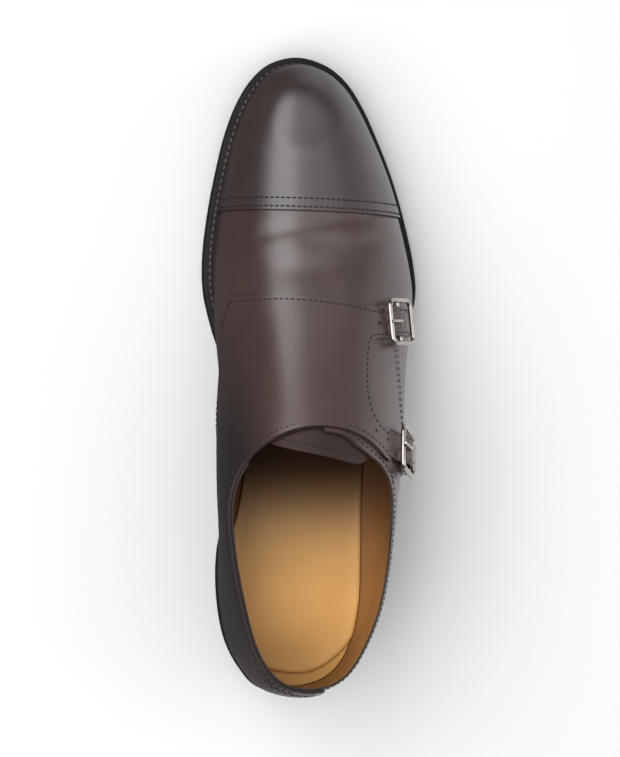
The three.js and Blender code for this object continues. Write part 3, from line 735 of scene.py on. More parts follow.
# %% Darker towards the toe
deep, deep_in, deep_out = node_group(
    "darker_to_the_toe",
    [("Place", VECTOR, None), ("Colour", COLOUR, (0.4, 0.2, 0.06, 1)),
     ("Deep", COLOUR, (0.035, 0.012, 0.004, 1))],
    [("Colour", COLOUR)],
)
deep_split = deep.nodes.new("ShaderNodeSeparateXYZ")
deep_fade = deep.nodes.new("ShaderNodeMapRange")
deep_fade.interpolation_type = "SMOOTHSTEP"
deep_fade.inputs["From Min"].default_value = 0.005
deep_fade.inputs["From Max"].default_value = 0.078
deep_mix = deep.nodes.new("ShaderNodeMix")
deep_mix.data_type = "RGBA"
deep.links.new(deep_in.outputs["Place"], deep_split.inputs[0])
deep.links.new(deep_split.outputs["Y"], deep_fade.inputs["Value"])
deep.links.new(deep_fade.outputs["Result"], deep_mix.inputs["Factor"])
deep.links.new(deep_in.outputs["Colour"], deep_mix.inputs["A"])
deep.links.new(deep_in.outputs["Deep"], deep_mix.inputs["B"])
deep.links.new(deep_mix.outputs["Result"], deep_out.inputs["Colour"])


def recolour(material, node_tree):
    tree = material.node_tree
    group = tree.nodes.new("ShaderNodeGroup")
    group.node_tree = node_tree
    calf_node = next(n for n in tree.nodes if n.type == "GROUP" and n.node_tree == calf)
    place = next(n for n in tree.nodes if n.type == "TEX_COORD")
    tree.links.new(place.outputs["Object"], group.inputs["Place"])
    tree.links.new(calf_node.outputs["Colour"], group.inputs["Colour"])
    tree.links.new(group.outputs["Colour"], tree.nodes["Principled BSDF"].inputs["Base Color"])
    return group


print("group", deep.name)

# %% [markdown]
# Painted shade: the inner side of the calf is mixed towards near black, standing in for the dark
# surroundings that this side would mirror and the shade it lies in. It could be painted by hand onto a
# texture, but a mask of three soft ramps multiplied together needs none: one grows towards the inner
# side, one back from the instep, and one fades at the back end.

# %% Painted shade of the inner side
inner_shade, inner_shade_in, inner_shade_out = node_group(
    "inner_side_painted_shade",
    [("Place", VECTOR, None), ("Colour", COLOUR, (0.03, 0.015, 0.013, 1)),
     ("Painted Shade", COLOUR, (0.005, 0.0024, 0.0022, 1))],
    [("Colour", COLOUR)],
)
inner_shade_split = inner_shade.nodes.new("ShaderNodeSeparateXYZ")
inner_shade.links.new(inner_shade_in.outputs["Place"], inner_shade_split.inputs[0])
share = None
# the mask of painted shade: towards the inner side, back from the instep, fading at the back end
for axis, start, end in [("X", -0.012, -0.034), ("Y", 0.165, 0.075), ("Y", -0.028, -0.004)]:
    fade = inner_shade.nodes.new("ShaderNodeMapRange")
    fade.interpolation_type = "SMOOTHSTEP"
    fade.inputs["From Min"].default_value = start
    fade.inputs["From Max"].default_value = end
    inner_shade.links.new(inner_shade_split.outputs[axis], fade.inputs["Value"])
    if share is None:
        share = fade.outputs["Result"]
    else:
        product = inner_shade.nodes.new("ShaderNodeMath")
        product.operation = "MULTIPLY"
        inner_shade.links.new(share, product.inputs[0])
        inner_shade.links.new(fade.outputs["Result"], product.inputs[1])
        share = product.outputs[0]
inner_shade_mix = inner_shade.nodes.new("ShaderNodeMix")
inner_shade_mix.data_type = "RGBA"
inner_shade.links.new(share, inner_shade_mix.inputs["Factor"])
inner_shade.links.new(inner_shade_in.outputs["Colour"], inner_shade_mix.inputs["A"])
inner_shade.links.new(inner_shade_in.outputs["Painted Shade"], inner_shade_mix.inputs["B"])
inner_shade.links.new(inner_shade_mix.outputs["Result"], inner_shade_out.inputs["Colour"])
print("group", inner_shade.name)

# %% [markdown]
# Every finish of the shoe in one place. For each leather come its light and its dark dye, its shine
# from the glossiest to the dullest spot, and where it differs its grain, the size and then the depth.
# The calf of the upper is waxed and mirrors strongly, the tongue is left matt and dyed darker, which is
# painted shade of the flap over it, and cut edges are inked.

# %% The shoe's leathers
calf_brown = leather("brown_calf", (0.034, 0.0155, 0.0135), (0.021, 0.0095, 0.0085), (0.34, 0.41),
                     waver=0.16, coat=0.06, specular=0.72)
calf_cap = leather("burnished_calf", (0.022, 0.0105, 0.0097), (0.012, 0.006, 0.0056), (0.36, 0.44),
                   waver=0.14, coat=0.06, specular=0.8)
# the tongue's darker dye is painted shade from the flap that lies over it
tongue_calf = leather("matt_calf", (0.024, 0.012, 0.0105), (0.015, 0.0075, 0.0065), (0.5, 0.62),
                      specular=0.25)
cut_edge = leather("inked_edge", (0.017, 0.009, 0.008), (0.009, 0.005, 0.0045), (0.5, 0.65),
                   specular=0.2)
tan_lining = leather("tan_lining", (0.26, 0.115, 0.034), (0.2, 0.085, 0.025), (0.45, 0.6),
                     (700.0, 0.08), 0.05, specular=0.3)
sock_tan = leather("sock_leather", (0.56, 0.3, 0.083), (0.46, 0.242, 0.065), (0.42, 0.55),
                   (700.0, 0.08), 0.05, specular=0.3)
recolour(tan_lining, deep).inputs["Deep"].default_value = (0.04, 0.015, 0.005, 1)
recolour(sock_tan, deep).inputs["Deep"].default_value = (0.022, 0.007, 0.002, 1)
# painted shade on the inner side of the upper's calf
recolour(calf_brown, inner_shade)
sole_black = leather("waxed_edge", (0.007, 0.0055, 0.0052), (0.004, 0.0034, 0.0034), (0.5, 0.65),
                     (500.0, 0.1), specular=0.12)
rubber = leather("top_piece_rubber", (0.014, 0.013, 0.013), (0.008, 0.008, 0.008), (0.7, 0.85),
                 (400.0, 0.2))
thread = leather("waxed_thread", (0.014, 0.009, 0.008), (0.007, 0.005, 0.005), (0.6, 0.8),
                 (3000.0, 0.3), specular=0.25)
welt_thread = leather("welt_thread", (0.09, 0.07, 0.06), (0.05, 0.04, 0.034), (0.6, 0.8),
                      (3000.0, 0.3), specular=0.2)

# %% [markdown]
# The upper is the leather that wraps the foot: one wall over the last, open at the collar and
# underneath. Its outside is calf, its inside lining, and its cut edge is inked dark. It could be cut
# flat and bent round the last, but a sheet that is laid on the last and then trimmed keeps an even
# wall. Towards the collar its inner side is pared away, which a maker calls skiving, so that the rim
# is fine.


# %% Upper
def finish(piece, replaced=(), angle=35):
    only(piece)
    bpy.ops.object.shade_smooth_by_angle(angle=math.radians(angle))
    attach(piece, "root")
    if replaced:
        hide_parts(*replaced)
    print(piece.name, len(piece.data.polygons), "faces")
    return piece


def inked(cutter):
    cutter.data.materials.append(cut_edge)
    return cutter


SKIVED_BAND, SKIVED_DEPTH = 7, 0.9
skived = np.clip(above_collar(grid) / SKIVED_BAND + 1, 0, 1)
skived = SKIVED_DEPTH * skived * skived * (3 - 2 * skived)
upper, outside = leather_sheet("upper_leather", creased, skived, UPPER_WALL - skived)
upper.data.materials.append(calf_brown)
upper.data.materials.append(tan_lining)
for face in upper.data.polygons:
    face.material_index = 0 if face.index < outside else 1
# the lateral topline seen from the side: it leaves the collar and runs on under the flap
QUARTER_LINE = [(-30, 97), (4, 93.5), (30, 89), (62, 84.5), (80, 82.8), (93, 82), (101, 83.2),
                (109.3, 87.7), (114, 91.3), (118.6, 93.7), (125, 95.4), (136, 108.4)]
THROAT_EDGE = 5.0
cut(upper, inked(collar_cutter(high=THROAT_EDGE)))
cut(upper, inked(collar_cutter(6.0, -28.0, THROAT_EDGE)))
cut(upper, inked(collar_cutter(low=THROAT_EDGE - 0.1, line=spline(QUARTER_LINE, 80))))
finish(upper, ["upper"])

# %% [markdown]
# The toe cap is a second, thinner leather laid over the vamp, with a straight edge across it. It is a
# sheet lifted off the last by the vamp's wall and a hair more, and everything behind its edge is cut
# away. A colour change alone would look painted on: the small step is what catches the light.

# %% Toe cap
CAP_EDGE, CAP_TURN = 228.0, math.radians(1.4)
cap, _ = leather_sheet("toe_cap_leather", grid, LIFT, CAP_WALL)
cap.data.materials.append(calf_cap)
cap_block = prism("cap_block", [(-100, 0), (100, 0), (100, 120), (-100, 120)], "Z", -50, 150)
heel_shift = Matrix.Translation((0, HEEL_CENTRE * MM, 0))
cap_shift = Matrix.Translation((0, CAP_EDGE * MM, 0))
cap_place = Matrix.Rotation(-CAP_TURN, 4, "Z") @ cap_shift @ heel_shift
cap_block.data.transform(heel_shift.inverted() @ cap_place)
cut(cap, inked(cap_block), "INTERSECT")
finish(cap, ["toe_cap"])

# %% [markdown]
# The flap is the quarter of the inner side. It crosses the instep and ends in two straps on the outer
# side. Its pattern is a list of points in plan, read off as a pattern cutter would, and its lower seam
# is a second list, seen from the side. Each buckle has its place on the outer wall and a slant.

# %% Flap pattern
STRIP = 14.0
STRIP_SIDE = -STRIP / 2 - GAP
FLAP_PLAN = [
    (-70, 189), (-27, 187.5), (-19, 188.3), (-11, 188.5), (5, 187.5), (21, 185.5), (33, 183.2),
    (41, 182.7), (41, 168.7), (34, 168.4), (32.3, 167.4), (31.2, 164.5), (30.3, 158), (29.8, 150),
    (29.8, 143), (31.5, 135), (35, 129), (40, 125), (38, 112), (31, 117), (26, 110),
    (STRIP_SIDE, 90), (STRIP_SIDE, -20), (-70, -20),
]
FLAP_SEAM = np.array([
    (210, 62), (190, 45), (184, 40), (172, 36.5), (145, 38), (122, 40), (106, 39), (95, 35.5),
    (86, 28), (81, 14),
], float)
# forward, height and slant
BUCKLES = {"front": (175.7, 50.0, 0.0), "rear": (115.5, 65.0, math.radians(20))}
print("flap pattern", len(FLAP_PLAN), "points")

# %% [markdown]
# A strap end follows the wall, climbs over the buckle's bar and comes down again. It is built by
# walking down the outer wall in small steps, feeling for the last with a ray at each one, and laying
# a rounded section there. The Curve modifier would bend a flat strip too, but it wouldn't hold on to
# a wall that curves both ways.

# %% Strap ends
# distance below the bar, lift off the last, share of the width
STRAP_RUN = np.array([
    (-22, 1.6, 1), (-17, 1.8, 1), (-13, 1.95, 1), (-10, 2.15, 1), (-8, 2.8, 1), (-6, 3.8, 1),
    (-4, 5.2, 1), (-2, 6.6, 1), (0, 7.2, 1), (2, 6.7, 1), (4, 5.3, 1), (6, 4, 1), (8, 3.6, 1),
    (11, 3.6, 1), (13, 3.6, 0.88), (14, 3.6, 0.5),
])
STRAP_WIDTH = 14.0


def on_wall(forward, height):
    ahead = touch(forward + 1.5, height) - touch(forward - 1.5, height)
    above = touch(forward, height + 1.5) - touch(forward, height - 1.5)
    normal = np.cross(ahead, above)
    return touch(forward, height), normal / np.linalg.norm(normal)


def strap_axes(normal, slant):
    down = np.cross((0.0, 1.0, 0.0), normal)
    down /= np.linalg.norm(down)
    down = down * math.cos(slant) - np.cross(normal, down) * math.sin(slant)
    across = np.cross(normal, down)
    return down, across / np.linalg.norm(across)


def walk(buckle, distance):
    forward, height, slant = buckle
    point, normal = on_wall(forward, height)
    steps = max(1, math.ceil(abs(distance) / 3))
    for _ in range(steps):
        goal = point + strap_axes(normal, slant)[0] * distance / steps
        point, normal = on_wall(goal[1], goal[2])
    return point, normal


def band(name, buckle, run, width, wall):
    fine = np.linspace(run[0, 0], run[-1, 0], 46)
    lift = np.interp(fine, run[:, 0], run[:, 1])
    for _ in range(3):
        lift[1:-1] = 0.25 * lift[:-2] + 0.5 * lift[1:-1] + 0.25 * lift[2:]
    wide = np.interp(fine, run[:, 0], run[:, 2]) * width / 2
    ease = 0.3
    rings = []
    for along_strap, rise, half in zip(fine, lift, wide):
        point, normal = walk(buckle, along_strap)
        across = strap_axes(normal, buckle[2])[1]
        corners = [(-half, 0), (-half, wall - ease), (ease - half, wall), (0, wall + 0.06),
                   (half - ease, wall), (half, wall - ease), (half, 0), (0, 0)]
        rings.append([point + across * a + normal * (rise + b) for a, b in corners])
    return skin(name, rings)


def buckle_matrix(buckle):
    point, normal = on_wall(buckle[0], buckle[1])
    down, across = strap_axes(normal, buckle[2])
    place = Matrix((down, across, normal)).transposed().to_4x4()
    place.translation = Vector(to_world(point))
    return place


for name, buckle in BUCKLES.items():
    print(name, "bar at", on_wall(buckle[0], buckle[1])[0].round(1).tolist())

# %% [markdown]
# Now the flap itself: a sheet over the vamp, cut by its pattern from above, then by its seam, then by
# the collar, and last joined with the two strap ends, so that flap and straps are one leather.

# %% Strap flap
flap, _ = leather_sheet("strap_flap_leather", grid, LIFT, OVERLAY)
flap.data.materials.append(calf_brown)
front_edge = [tuple(p) for p in spline(FLAP_PLAN[1:8], 40)]
outer_edge = [tuple(p) for p in spline(FLAP_PLAN[8:18], 50)]
plan_points = [FLAP_PLAN[0]] + front_edge + outer_edge + FLAP_PLAN[18:]
cut(flap, inked(prism("flap_plan", plan_points, "Z", 0, 200)), "INTERSECT")
cut(flap, inked(prism("low_wall", [(0, -50), (100, -50), (100, 350), (0, 350)], "Z", -10, 45)))
seam_points = [tuple(p) for p in spline(FLAP_SEAM, 40)] + [(81, 0), (210, 0)]
cut(flap, inked(prism("flap_seam", seam_points, "X", -100, 0)))
cut(flap, inked(collar_cutter()))
for name, buckle in BUCKLES.items():
    end = band(name + "_strap_end", buckle, STRAP_RUN, STRAP_WIDTH, OVERLAY)
    end.data.materials.append(calf_brown)
    cut(flap, end, "UNION")
finish(flap, ["strap_flap"])

# %% [markdown]
# A narrow strip covers the seam at the back of the heel. It is the plainest overlay: a sheet, cut to
# its width from above and to the collar from the side.

# %% Back strip
strip, _ = leather_sheet("back_strip_leather", grid, LIFT, OVERLAY)
strip.data.materials.append(calf_brown)
half_strip = STRIP / 2
block = [(-half_strip, -30), (half_strip, -30), (half_strip, 30), (-half_strip, 30)]
cut(strip, inked(prism("strip_block", block, "Z", 0, 150)), "INTERSECT")
cut(strip, inked(collar_cutter()))
finish(strip, ["back_strip"])

# %% [markdown]
# The tongue lies under the flap and closes the throat. Only its rear edge shows, with a rounded
# corner, so that edge is drawn with care and the rest simply runs on out of sight.

# %% Tongue
TONGUE_EDGE = [(27, 117), (25.4, 112.6), (21.5, 111), (15, 112.1), (4.5, 114.7), (-10.7, 117.7),
               (-19, 120), (-27, 123.4), (-33, 127)]
TONGUE_PLAN = [(-33, 140), (-25, 168), (25, 168)] + [tuple(p) for p in spline(TONGUE_EDGE, 48)]
tongue, _ = leather_sheet("tongue_leather", grid, -GAP - TONGUE_WALL, TONGUE_WALL)
tongue.data.materials.append(tongue_calf)
cut(tongue, inked(prism("tongue_plan", TONGUE_PLAN, "Z", 60, 200)), "INTERSECT")
finish(tongue, ["tongue"])


# %% [markdown]
# The outsole is a slab of black waxed leather, and the welt above it is the narrow ledge that the
# upper is sewn to. Both share the sole's outline. Each is a stack of rings, and a few rings close
# together, each drawn in a little more, round its edges. The Bevel modifier would round them as well,
# but with rings the lower edge can be rounder than the upper one, as a trimmed sole has it.


# %% Sole and welt
def slab(name, levels):
    point, out = edge(LOOP)
    rings = []
    for inset, height in levels:
        share = point[:, 1] / SOLE_LENGTH
        moved = point - out * (inset(share) if callable(inset) else np.full(len(point), inset))[:, None]
        z = height(moved[:, 1]) if callable(height) else np.full(len(point), height)
        rings.append(np.concatenate([moved, z[:, None]], -1))
    return skin(name, rings)


outsole = slab("outsole_edge", [
    (2.0, underside), (1.0, lambda f: underside(f) + 0.2), (0.2, lambda f: underside(f) + 1.0),
    (0.0, lambda f: underside(f) + 2.0), (0.0, lambda f: underside(f) + 4.2),
    (0.3, lambda f: underside(f) + 4.85), (0.8, sole_top),
])
outsole.data.materials.append(sole_black)
finish(outsole, ["outsole"])

welt = slab("welt_strip", [
    (0.8, lambda f: sole_top(f) + GAP), (0.3, lambda f: sole_top(f) + GAP + 0.4),
    (0.3, lambda f: welt_top(f) - 0.7), (0.5, lambda f: welt_top(f) - 0.2), (1.0, welt_top),
])
welt.data.materials.append(sole_black)
welt_hole = slab("welt_hole", [(INSET, lambda f: sole_top(f) - 4), (INSET, lambda f: welt_top(f) + 4)])
welt_hole.data.materials.append(sole_black)
cut(welt, welt_hole)
finish(welt, ["welt"])

# %% [markdown]
# The heel is a block of leather lifts on a rubber top piece. Both taper a little towards the floor
# and end in a hollow curve at the front, the breast. They are slabs of the same outline, drawn in a
# bit further, and intersected with a plan that has the breast as one side.

# %% Heel
TOP_PIECE = 6.0


def heel_block(name, bottom, top, bottom_inset, top_inset, material, node):
    ease = 0.4
    piece = slab(name, [
        (bottom_inset + ease, bottom), (bottom_inset, bottom + ease),
        (top_inset, top - ease / 2), (top_inset + ease / 2, top),
    ])
    piece.data.materials.append(material)
    half = BALL_WIDTH / 2
    breast = [(half * (1 - t) - half * t, 68 - 16 * t * (1 - t)) for t in np.linspace(0, 1, 13)]
    behind = [(-BALL_WIDTH, -20), (BALL_WIDTH, -20)]
    plan = prism(name + "_plan", behind + breast, "Z", -10, 60)
    plan.data.materials.append(material)
    cut(piece, plan, "INTERSECT")
    return finish(piece, [node])


heel_block("heel_lifts", TOP_PIECE, HEEL_HEIGHT, 2.6, 1.0, sole_black, "heel")
heel_block("heel_top_rubber", 0.0, TOP_PIECE, 3.1, 2.6, rubber, "heel_top_piece")

# %% [markdown]
# The foot stands on the sock, a tan leather on the insole board. It dips a little in the middle, turns
# up at its edge and stops short of the heel's wall, where the board shows. Both are stacks of rings
# that narrow to a middle line, which gives the soft dish that a flat plate lacks.

# %% Sock
SOCK_LEVELS = [(0.0, 3.0), (0.0, 4.35), (0.02, 4.6), (0.05, 4.5), (0.1, 4.1), (0.18, 3.8), (0.3, 3.6),
               (0.45, 3.5), (0.62, 3.45), (0.8, 3.4), (1.0, 3.4)]
BOARD_LEVELS = [(0.0, 0.0), (0.0, 2.9), (1.0, 2.9)]
# the sock's rear edge in plan: it stops a little before the heel's wall
SOCK_REAR = spline([(-34, 34), (-22, 18.5), (-14, 13.3), (-5, 11.2), (4.4, 10.9), (11, 12.8),
                    (17.3, 16.6), (25, 24), (34, 38)], 60)
point, out = edge(LOOP)
sock_edge = point - out * (INSET(point[:, 1] / SOLE_LENGTH) + GAP)[:, None]
sock_middle = (sock_edge + sock_edge[MIRROR]) / 2
line = sock_middle[: len(LOOP) // 2 + 1].copy()
sock_middle[:, 1] = np.clip(sock_middle[:, 1], 36, 262)
sock_middle[:, 0] = np.interp(sock_middle[:, 1], line[:, 1], line[:, 0])


def narrowing(name, around, levels, material):
    rings = []
    for share, rise in levels:
        ring = around + (sock_middle - around) * share
        rings.append(np.concatenate([ring, (sole_top(ring[:, 1]) + GAP + rise)[:, None]], -1))
    piece = skin(name, rings)
    only(piece)
    bpy.ops.object.mode_set(mode="EDIT")
    bpy.ops.mesh.select_all(action="SELECT")
    bpy.ops.mesh.remove_doubles(threshold=0.02 * MM)
    bpy.ops.mesh.dissolve_degenerate(threshold=0.01 * MM)
    bpy.ops.mesh.normals_make_consistent(inside=False)
    bpy.ops.object.mode_set(mode="OBJECT")
    piece.data.materials.append(material)
    return finish(piece, ["insole"])


narrowing("insole_board", sock_edge, BOARD_LEVELS, sock_tan)
shorter = sock_edge.copy()
rear_limit = np.interp(shorter[:, 0], SOCK_REAR[:, 0], SOCK_REAR[:, 1])
shorter[:, 1] = np.maximum(shorter[:, 1], rear_limit)
sock_middle[:, 1] = np.maximum(sock_middle[:, 1], 44)
narrowing("sock", shorter, SOCK_LEVELS, sock_tan)

# %% [markdown]
# The buckles are nickel: a mirror, but one with fine rubbing and a faint warm tarnish. Metallic is
# full on, so the colour tints what is mirrored. One noise drives both tint and roughness: where the
# metal is rubbed it is paler and duller, and in between it is darker and smoother.

# %% Metal
metal = bpy.data.materials.new("polished_nickel")
metal.use_nodes = True
metal_tree = metal.node_tree
nickel = metal_tree.nodes["Principled BSDF"]
nickel.inputs["Metallic"].default_value = 1.0
metal_place = metal_tree.nodes.new("ShaderNodeTexCoord")
tarnish = metal_tree.nodes.new("ShaderNodeTexNoise")
tarnish.inputs["Scale"].default_value = 220.0
tarnish.inputs["Detail"].default_value = 3.0
tint = metal_tree.nodes.new("ShaderNodeValToRGB")
tint.color_ramp.elements[0].color = (0.2, 0.18, 0.165, 1)
tint.color_ramp.elements[1].color = (0.42, 0.39, 0.365, 1)
rub = metal_tree.nodes.new("ShaderNodeMapRange")
rub.inputs["To Min"].default_value = 0.14
rub.inputs["To Max"].default_value = 0.28
metal_tree.links.new(metal_place.outputs["Object"], tarnish.inputs["Vector"])
metal_tree.links.new(tarnish.outputs["Fac"], tint.inputs["Fac"])
metal_tree.links.new(tint.outputs["Color"], nickel.inputs["Base Color"])
metal_tree.links.new(tarnish.outputs["Fac"], rub.inputs["Value"])
metal_tree.links.new(rub.outputs["Result"], nickel.inputs["Roughness"])
print("metal", metal.name)

# %% [markdown]
# A frame is bent from wire. It starts as a plane whose corners are bevelled round. Without its face
# the outline is a loop of edges, which becomes a curve, and the curve is given the wire's thickness.
# The bar is a cylinder across it. A torus would give the wire at once, but no straight sides.


# %% Buckle frames
def settle(piece, place):
    piece.data.transform(place)
    piece.matrix_world = Matrix.Identity(4)
    return piece


def wire_frame(name, length, width, radius, wire):
    bpy.ops.object.select_all(action="DESELECT")
    bpy.ops.mesh.primitive_plane_add(size=1.0)
    piece = bpy.context.object
    piece.name = name
    piece.data.transform(Matrix.Diagonal(((length - wire) * MM, (width - wire) * MM, 1, 1)))
    bpy.ops.object.mode_set(mode="EDIT")
    bpy.ops.mesh.select_all(action="SELECT")
    bpy.ops.mesh.bevel(offset=radius * MM, segments=7, affect="VERTICES")
    bpy.ops.mesh.delete(type="ONLY_FACE")
    bpy.ops.object.mode_set(mode="OBJECT")
    bpy.ops.object.convert(target="CURVE")
    piece = bpy.context.object
    piece.data.bevel_depth = wire / 2 * MM
    piece.data.bevel_resolution = 4
    bpy.ops.object.convert(target="MESH")
    return bpy.context.object


def bar(name, radius, length, height):
    bpy.ops.object.select_all(action="DESELECT")
    bpy.ops.mesh.primitive_cylinder_add(vertices=20, radius=radius * MM, depth=length * MM)
    piece = bpy.context.object
    piece.name = name
    lying = Matrix.Rotation(math.pi / 2, 4, "X")
    piece.data.transform(Matrix.Translation((0, 0, height * MM)) @ lying)
    return piece


def join(pieces, name):
    bpy.ops.object.select_all(action="DESELECT")
    for piece in pieces:
        piece.select_set(True)
    bpy.context.view_layer.objects.active = pieces[0]
    bpy.ops.object.join()
    pieces[0].name = name
    return pieces[0]


print("frame and bar for", len(BUCKLES), "buckles")

# %% [markdown]
# The prong turns on the bar, passes up through the strap and rests on the frame. Its side view is a
# few points, and a thin bevelled curve through them tapers to the tip. A small ring joins it to the
# bar.

# %% Prongs
# along the strap, height over the last
PRONG = [(-1.5, 5.6), (-2.6, 7.2), (-3.9, 8.4), (-6.0, 8.4), (-9.0, 8.0), (-12.4, 7.85)]


def prong_wire(name):
    bpy.ops.object.select_all(action="DESELECT")
    bpy.ops.curve.primitive_bezier_curve_add()
    wire = bpy.context.object
    wire.name = name
    wire.data.splines.clear()
    line = wire.data.splines.new("POLY")
    fine = spline(PRONG, 20)
    line.points.add(len(fine) - 1)
    for knot, (a, h) in zip(line.points, fine):
        knot.co = (a * MM, 0, h * MM, 1)
        knot.radius = 1.0 if a > -10 else 1.0 - 0.45 * (-10 - a) / 2.4
    wire.data.dimensions = "3D"
    wire.data.bevel_depth = 0.8 * MM
    wire.data.bevel_resolution = 4
    wire.data.use_fill_caps = True
    bpy.ops.object.convert(target="MESH")
    return bpy.context.object


print("prong", len(PRONG), "points")

# %% [markdown]
# Each buckle hangs on a stay, a leather loop round its bar that is sewn to the wall below. The CAD's
# own loop is good enough to keep, because the strap hides it, and it is only given its leather. Its
# sewn foot is seen, and is laid over it as one more band down the wall. Both buckles are alike, so
# each is made flat at the origin and then moved to its place, frame first and prong and foot after.

# %% Buckles in place
FRAME_LENGTH, FRAME_WIDTH, FRAME_CORNER, WIRE = 21.6, 22.4, 3.4, 2.3
FRAME_LIFT, BAR_LIFT = 6.0, 4.8
BAR_RADIUS, BAR_LENGTH = 0.9, 20.3
RING_RADIUS, RING_WIDTH = 1.65, 1.9
STAY_WIDTH, STAY_WALL = 11.3, 1.45
# distance below the bar, lift off the last, share of the width
STAY_RUN = np.array([
    (2.6, 1.9, 0.97), (6, 1.9, 1), (12, 1.9, 1), (18, 1.9, 1), (19.8, 1.9, 0.94), (20.6, 1.9, 0.78),
])
for name, buckle in BUCKLES.items():
    place = buckle_matrix(buckle)
    hoop = wire_frame(name + "_hoop", FRAME_LENGTH, FRAME_WIDTH, FRAME_CORNER, WIRE)
    hoop.data.transform(Matrix.Translation((0, 0, FRAME_LIFT * MM)))
    axle = bar(name + "_axle", BAR_RADIUS, BAR_LENGTH, BAR_LIFT)
    whole = settle(join([hoop, axle], name + "_buckle"), place)
    whole.data.materials.append(metal)
    finish(whole, [name + "_buckle_frame"])
    pin = prong_wire(name + "_pin")
    ring = bar(name + "_ring", RING_RADIUS, RING_WIDTH, BAR_LIFT)
    pin = settle(join([pin, ring], name + "_prong"), place)
    pin.data.materials.append(metal)
    finish(pin, [name + "_buckle_prong"])
    stay = bpy.data.objects[name + "_buckle_stay"]
    stay.data.materials.clear()
    stay.data.materials.append(calf_brown)
    foot = band(name + "_stay_foot", buckle, STAY_RUN, STAY_WIDTH, STAY_WALL)
    foot.data.materials.append(calf_brown)
    finish(foot)

# %% [markdown]
# Stitches are what the eye counts on a shoe. One stitch is a small rounded grain of thread of a few
# dozen faces, because hundreds of them follow. Copies are laid along each seam, each turned to the
# seam's direction and sunk halfway into the leather. An Array along a curve would do it as well, but
# it can't feel for the leather's surface.

# %% One stitch and a row of them
bpy.ops.object.select_all(action="DESELECT")
bpy.ops.mesh.primitive_uv_sphere_add(segments=6, ring_count=4, radius=0.5)
seed = bpy.context.object
SEED_POINTS = np.array([v.co[:] for v in seed.data.vertices])
SEED_FACES = [tuple(p.vertices) for p in seed.data.polygons]
bpy.data.objects.remove(seed)
bpy.context.view_layer.update()
STITCH_RISE = 0.05


def drop_on(pieces, start, direction):
    best = None
    for piece in pieces:
        hit, place, normal, _ = piece.ray_cast(start, direction)
        if hit and (best is None or (place - start).length < (best[0] - start).length):
            best = (place, normal)
    return best


def resample(points, pitch):
    points = np.asarray(points, float)
    steps = np.concatenate([[0], np.cumsum(np.linalg.norm(np.diff(points, axis=0), axis=1))])
    count = max(2, int(steps[-1] / pitch))
    where = np.linspace(0, steps[-1], count)
    return np.stack([np.interp(where, steps, points[:, k]) for k in range(points.shape[1])], 1)


def stitch_row(name, places, facing, length=2.0, width=0.75, height=0.6, material=thread,
               slot="upper_leather"):
    places, facing = np.asarray(places), np.asarray(facing)
    points, faces = [], []
    for i, (place, normal) in enumerate(zip(places, facing)):
        ahead = places[min(i + 1, len(places) - 1)] - places[max(i - 1, 0)]
        ahead = ahead - normal * np.dot(ahead, normal)
        size = np.linalg.norm(ahead)
        if size < 1e-9:
            continue
        ahead /= size
        across = np.cross(normal, ahead)
        shape = SEED_POINTS * (length * MM, width * MM, height * MM)
        start = len(points)
        seat = place + normal * STITCH_RISE * MM
        points.extend(seat + s[0] * ahead + s[1] * across + s[2] * normal for s in shape)
        faces.extend(tuple(start + k for k in face) for face in SEED_FACES)
    mesh = bpy.data.meshes.new(name)
    mesh.from_pydata([tuple(p) for p in points], [], faces)
    mesh.update()
    piece = bpy.data.objects.new(name, mesh)
    scene.collection.objects.link(piece)
    mesh.materials.append(material)
    only(piece)
    bpy.ops.object.shade_smooth()
    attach(piece, "root")
    print(name, len(places), "stitches")
    return piece


def lay_row(name, places, directions, pitch=2.6, **look):
    both = resample(np.concatenate([places, directions], 1), pitch)
    axes = both[:, 3:] / np.linalg.norm(both[:, 3:], axis=1)[:, None]
    return stitch_row(name, to_world(both[:, :3]), axes, **look)


def cast_row(name, line, pieces, aim, pitch=2.6, **look):
    places, directions = [], []
    for spot in resample(spline(line, 30 * len(line)), 0.4):
        found = drop_on(pieces, Vector(to_world(spot)), Vector(aim))
        if found:
            places.append(np.array(found[0]) / MM + (0, HEEL_CENTRE, 0))
            directions.append(np.array(found[1]))
    return lay_row(name, np.array(places), np.array(directions), pitch, **look)


print("one stitch", len(SEED_FACES), "faces")

# %% [markdown]
# The straps are punched with holes. Real holes would have to be cut through a curved strap, and all
# that is seen of them is a small round of shade, so each is a short dark plug let into the surface, in
# the dark thread's material: painted shade of the hole.


# %% Strap holes
def punch_hole(name, across, forward, piece):
    found = drop_on([piece], Vector(to_world((across, forward, ABOVE))), Vector((0, 0, -1)))
    bpy.ops.object.select_all(action="DESELECT")
    bpy.ops.mesh.primitive_cylinder_add(vertices=20, radius=0.85 * MM, depth=0.5 * MM)
    hole = bpy.context.object
    hole.name = name
    turned = found[1].to_track_quat("Z", "Y").to_matrix().to_4x4()
    hole.data.transform(Matrix.Translation(found[0] - found[1] * 0.2 * MM) @ turned)
    hole.matrix_world = Matrix.Identity(4)
    # the plug's dark thread colour is painted shade of the hole's depth
    hole.data.materials.append(thread)
    return finish(hole)


punch_hole("front_strap_hole", 35.6, 175.8, flap)
punch_hole("rear_strap_hole_inner", 31.0, 126.1, flap)
punch_hole("rear_strap_hole_outer", 37.1, 121.9, flap)

# %% [markdown]
# The rows of the overlays: two across the cap, one along the flap's front, one down its outer edge
# and one along its seam. Each line is drawn from above or from the side, a little inside the edge,
# and dropped onto the leather. The stitches are spaced evenly on the leather, not on the drawing.


# %% Rows on cap and flap
def row_from_above(name, line, pieces, **look):
    return cast_row(name, [(a, f, ABOVE) for a, f in line], pieces, (0, 0, -1), **look)


def row_from_side(name, line, pieces, side, **look):
    return cast_row(name, [(side * BESIDE, f, h) for f, h in line], pieces, (-side, 0, 0), **look)


